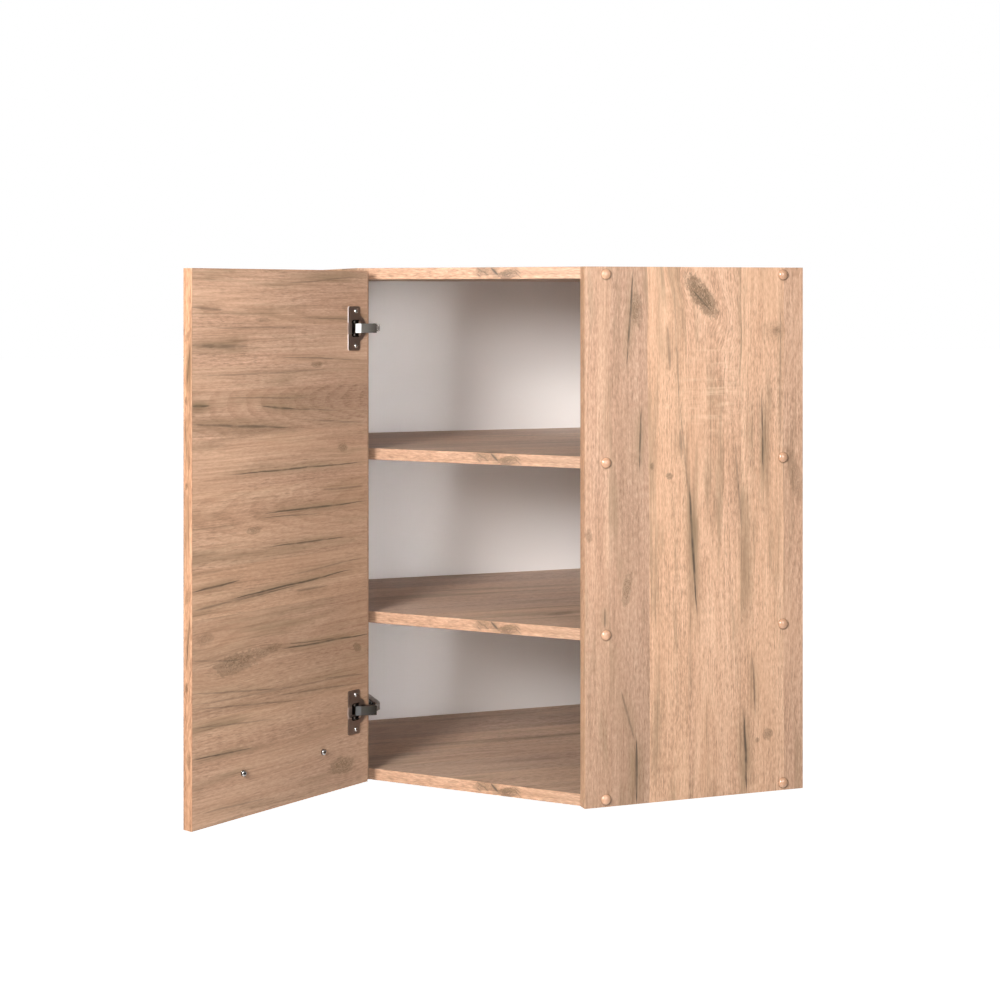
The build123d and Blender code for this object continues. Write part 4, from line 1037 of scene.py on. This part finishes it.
for name, node in frame["nodes"].items():
    material = finish.get(name, nickel)
    if not node.material_slots:
        node.data.materials.append(material)
    for slot in node.material_slots:
        slot.material = material


def ring_quads(rings, turns):
    """Faces between neighbouring rings, each of as many points as there are turns."""
    ring, step = np.meshgrid(np.arange(rings - 1), np.arange(turns), indexing="ij")
    following = (step + 1) % turns
    corners = [
        ring * turns + step, ring * turns + following,
        (ring + 1) * turns + following, (ring + 1) * turns + step,
    ]
    return np.stack(corners, axis=-1).reshape(-1, 4)


def new_piece(name, points, faces, material):
    """Object at the origin, unturned and unscaled, with its mesh and material, in the scene."""
    mesh = bpy.data.meshes.new(name)
    mesh.from_pydata(points, [], faces)
    mesh.validate()
    mesh.materials.append(material)
    piece = bpy.data.objects.new(name, mesh)
    scene.collection.objects.link(piece)
    return piece


# Domed caps over the joining screws
CAP_TURNS = 40
CAP_RINGS = 9
CAP_FULLNESS = 2.0
CAP_CROWN = 0.06


def cap_domes():
    """Surfaces of revolution, the height given over the share of the radius.

    height = full height * (1 - share^fullness)^(1/fullness)
    """
    places = vertices("screw_caps")
    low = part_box("side_panel_right")[0]
    left_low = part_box("side_panel_left")[0]
    on_left = places[places[:, 0] <= left_low.x + TOUCHING]
    height = low.y - float(places[:, 1].min())

    turn = np.linspace(0, 2 * np.pi, CAP_TURNS, endpoint=False)
    share = np.sin(np.linspace(np.pi / 2, CAP_CROWN, CAP_RINGS))
    rise = (1 - share ** CAP_FULLNESS) ** (1 / CAP_FULLNESS)
    side = np.outer(share, np.cos(turn)) * cap_radius
    up = np.outer(share, np.sin(turn)) * cap_radius
    out = np.repeat(rise[:, None] * height, CAP_TURNS, axis=1)
    dome = np.stack([side, out, up], axis=-1).reshape(-1, 3)
    dome = np.vstack([dome, [0, height, 0]])
    quads = ring_quads(CAP_RINGS, CAP_TURNS)
    around = np.arange(CAP_TURNS)
    last = (CAP_RINGS - 1) * CAP_TURNS
    top = np.full(CAP_TURNS, last + CAP_TURNS)
    crown = np.stack([last + around, last + (around + 1) % CAP_TURNS, top], axis=-1)
    base = around[::-1]

    points = []
    for z in cap_rows:
        for x in cap_columns:
            points.append(dome * (1, -1, 1) + (x, low.y, z))
        for y in clusters(on_left[:, 1], CAP_GAP):
            points.append(dome[:, [1, 0, 2]] * (-1, 1, 1) + (left_low.x, y, z))
    faces = []
    for number in range(len(points)):
        offset = number * len(dome)
        faces += (quads + offset).tolist() + (crown + offset).tolist()
        faces += [(base + offset).tolist()]
    piece = new_piece("screw_cap_domes", np.vstack(points).tolist(), faces, cap_plastic)
    smooth = np.array([len(face) < CAP_TURNS for face in faces])
    piece.data.polygons.foreach_set("use_smooth", smooth)
    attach(piece, "cabinet")
    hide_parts("screw_caps")


cap_domes()

# Rounded heads of the screws in the door
HEAD_TURNS = 28
HEAD_SHARES = np.array([1.0, 0.96, 0.86, 0.72, 0.58, 0.46, 0.36, 0.24, 0.10])
HEAD_RISE = 0.0016
HEAD_DIMPLE = 0.8
HEAD_DIMPLE_WIDTH = 0.33
HEAD_RECESS = 0.44
HEAD_FLAT = 0.0002
HEAD_GAP = 0.008
HEAD_NEAR = 0.005


def screw_heads(name, node, material):
    """Rounded screw heads, the rise given over the share of the radius.

    rise = full rise * (sqrt(1 - share^2) - dimple * exp(-(share / dimple width)^4))
    """
    places = vertices(node)
    out = np.array(DOOR_INTO)
    along = np.array(DOOR_ALONG)
    top = float((places @ out).max())
    heads = places[places @ out > top - HEAD_FLAT]
    turn = np.linspace(0, 2 * np.pi, HEAD_TURNS, endpoint=False)
    dimple = HEAD_DIMPLE * np.exp(-(HEAD_SHARES / HEAD_DIMPLE_WIDTH) ** 4)
    rise = HEAD_RISE * (np.sqrt(1 - HEAD_SHARES ** 2) - dimple)
    rings = len(HEAD_SHARES)
    quads = ring_quads(rings, HEAD_TURNS).tolist()
    well = list(range((rings - 1) * HEAD_TURNS, rings * HEAD_TURNS))
    points, faces = [], []
    for z in clusters(heads[:, 2], HEAD_GAP):
        row = heads[np.abs(heads[:, 2] - z) < HEAD_NEAR]
        for x in clusters(row @ along, HEAD_GAP):
            head = row[np.abs(row @ along - x) < HEAD_NEAR]
            radius = float(np.ptp(head[:, 2])) / 2
            side = np.outer(HEAD_SHARES, np.cos(turn)).reshape(-1, 1) * radius + x
            up = np.outer(HEAD_SHARES, np.sin(turn)).reshape(-1, 1) * radius + z
            high = np.repeat(rise, HEAD_TURNS).reshape(-1, 1) + top
            offset = sum(len(part) for part in points)
            points.append(side * along + high * out + up * np.array(UP))
            faces += [[corner + offset for corner in face] for face in quads + [well]]
    piece = new_piece(name, np.vstack(points).tolist(), faces, material)
    # Marks where the recess's shade is painted
    in_recess = np.repeat((HEAD_SHARES < HEAD_RECESS).astype(np.float32), HEAD_TURNS)
    recess = piece.data.attributes.new("recess", "FLOAT", "POINT")
    recess.data.foreach_set("value", np.tile(in_recess, len(points)))
    piece.data.polygons.foreach_set("use_smooth", np.ones(len(piece.data.polygons), bool))
    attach(piece, "door")


screw_heads("hinge_screw_heads", "hinge_cup_screws", head_polish)
screw_heads("handle_screw_heads", "handle_screws", head_polish)


# Studio: floor, lights, world and camera
HANG_HEIGHT = 1.40
FLOOR_HALF = 60.0
FLOOR_TONES = [(0.3, even(0.93)), (0.7, even(0.95))]
FLOOR_GLOW = 0.90
AMBIENT = 0.145
AMBIENT_TINT = (1.0, 0.985, 0.97, 1.0)
WHITE = (1.0, 1.0, 1.0, 1.0)
MIDDLE = Vector((-0.35, -0.35, 0.36))


def studio_floor():
    """Pale floor below the hanging cabinet, which glows only to the camera."""
    material, graph, shader = new_material("pale_floor")
    cloud = graph.noise(graph.add("TexCoord").outputs["Object"], even(0.5), 2.0)
    seen = graph.add("LightPath").outputs["Is Camera Ray"]
    graph.fill(
        shader, Base_Color=graph.ramp(cloud, FLOOR_TONES), Roughness=0.9, Specular_IOR_Level=0.0,
        Emission_Color=WHITE, Emission_Strength=graph.times(seen, FLOOR_GLOW),
    )
    corners = [(-1, -1), (1, -1), (1, 1), (-1, 1)]
    points = [(x * FLOOR_HALF, y * FLOOR_HALF, -HANG_HEIGHT) for x, y in corners]
    floor = new_piece("floor", points, [(0, 1, 2, 3)], material)


def soft_box(name, at, target, width, height, watts, spread=180.0, colour=(1, 1, 1)):
    """Rectangular lamp at a place, turned to a target; the spread in degrees."""
    light = bpy.data.lights.new(name, "AREA")
    light.shape = "RECTANGLE"
    light.size = width
    light.size_y = height
    light.energy = watts
    light.spread = math.radians(spread)
    light.color = colour
    lamp = bpy.data.objects.new(name, light)
    lamp.location = at
    lamp.rotation_euler = (Vector(target) - Vector(at)).to_track_quat("-Z", "Y").to_euler()
    lamp.visible_camera = False
    scene.collection.objects.link(lamp)


def studio_world():
    """White room: seen as white, and lighting the cabinet more weakly than it looks."""
    world = bpy.data.worlds.new("studio")
    world.use_nodes = True
    tree = world.node_tree
    tree.nodes.clear()
    graph = Graph(tree)
    lighting = graph.add("Background", {"Color": AMBIENT_TINT, "Strength": AMBIENT}).outputs[0]
    seen = graph.add("Background", {"Color": WHITE, "Strength": 1.0}).outputs[0]
    is_seen = graph.add("LightPath").outputs["Is Camera Ray"]
    mixed = graph.add("MixShader", {0: is_seen, 1: lighting, 2: seen})
    output = graph.add("OutputWorld")
    tree.links.new(mixed.outputs[0], output.inputs["Surface"])
    scene.world = world


studio_floor()
studio_world()
soft_box("key", (-2.10, -1.90, 1.20), MIDDLE, 0.7, 0.7, 77.0, colour=(1.0, 0.975, 0.95))
soft_box("front", (0.05, -3.30, 1.05), MIDDLE, 1.5, 1.5, 30.5)
soft_box("inside_right", (-0.36, -1.70, 0.40), (-0.45, 0.0, 0.38), 0.14, 0.9, 0.16, 13.0)
soft_box(
    "inside_left", (-1.08, -1.72, 0.20), (-0.25, 0.0, 0.14), 0.30, 0.7, 0.125, 13.0,
    (1.0, 0.93, 0.88),
)
soft_box("inside_high", (-1.08, -1.72, 0.82), (-0.22, 0.0, 0.38), 0.55, 0.60, 0.085, 15.0)
soft_box(
    "inside_top", (-1.02, -1.72, 0.16), (-0.37, 0.0, 0.66), 0.50, 0.26, 0.05, 13.0,
    (1.0, 0.95, 0.91),
)
soft_box("behind", (1.8, 2.4, 1.9), MIDDLE, 2.0, 2.0, 60.0)

camera = bpy.data.cameras.new("camera")
camera.sensor_width = SENSOR_MM
camera.sensor_fit = "HORIZONTAL"
camera.lens = SENSOR_MM * FOCAL_PX / PICTURE
camera.shift_y = (HORIZON_PX - PICTURE / 2) / PICTURE
camera.clip_end = CAMERA_SEES
eye = bpy.data.objects.new("camera", camera)
eye.location = CAMERA_AT
eye.rotation_euler = CAMERA_LOOK.to_track_quat("-Z", "Y").to_euler()
scene.collection.objects.link(eye)
scene.camera = eye
scene.view_settings.view_transform = "Standard"
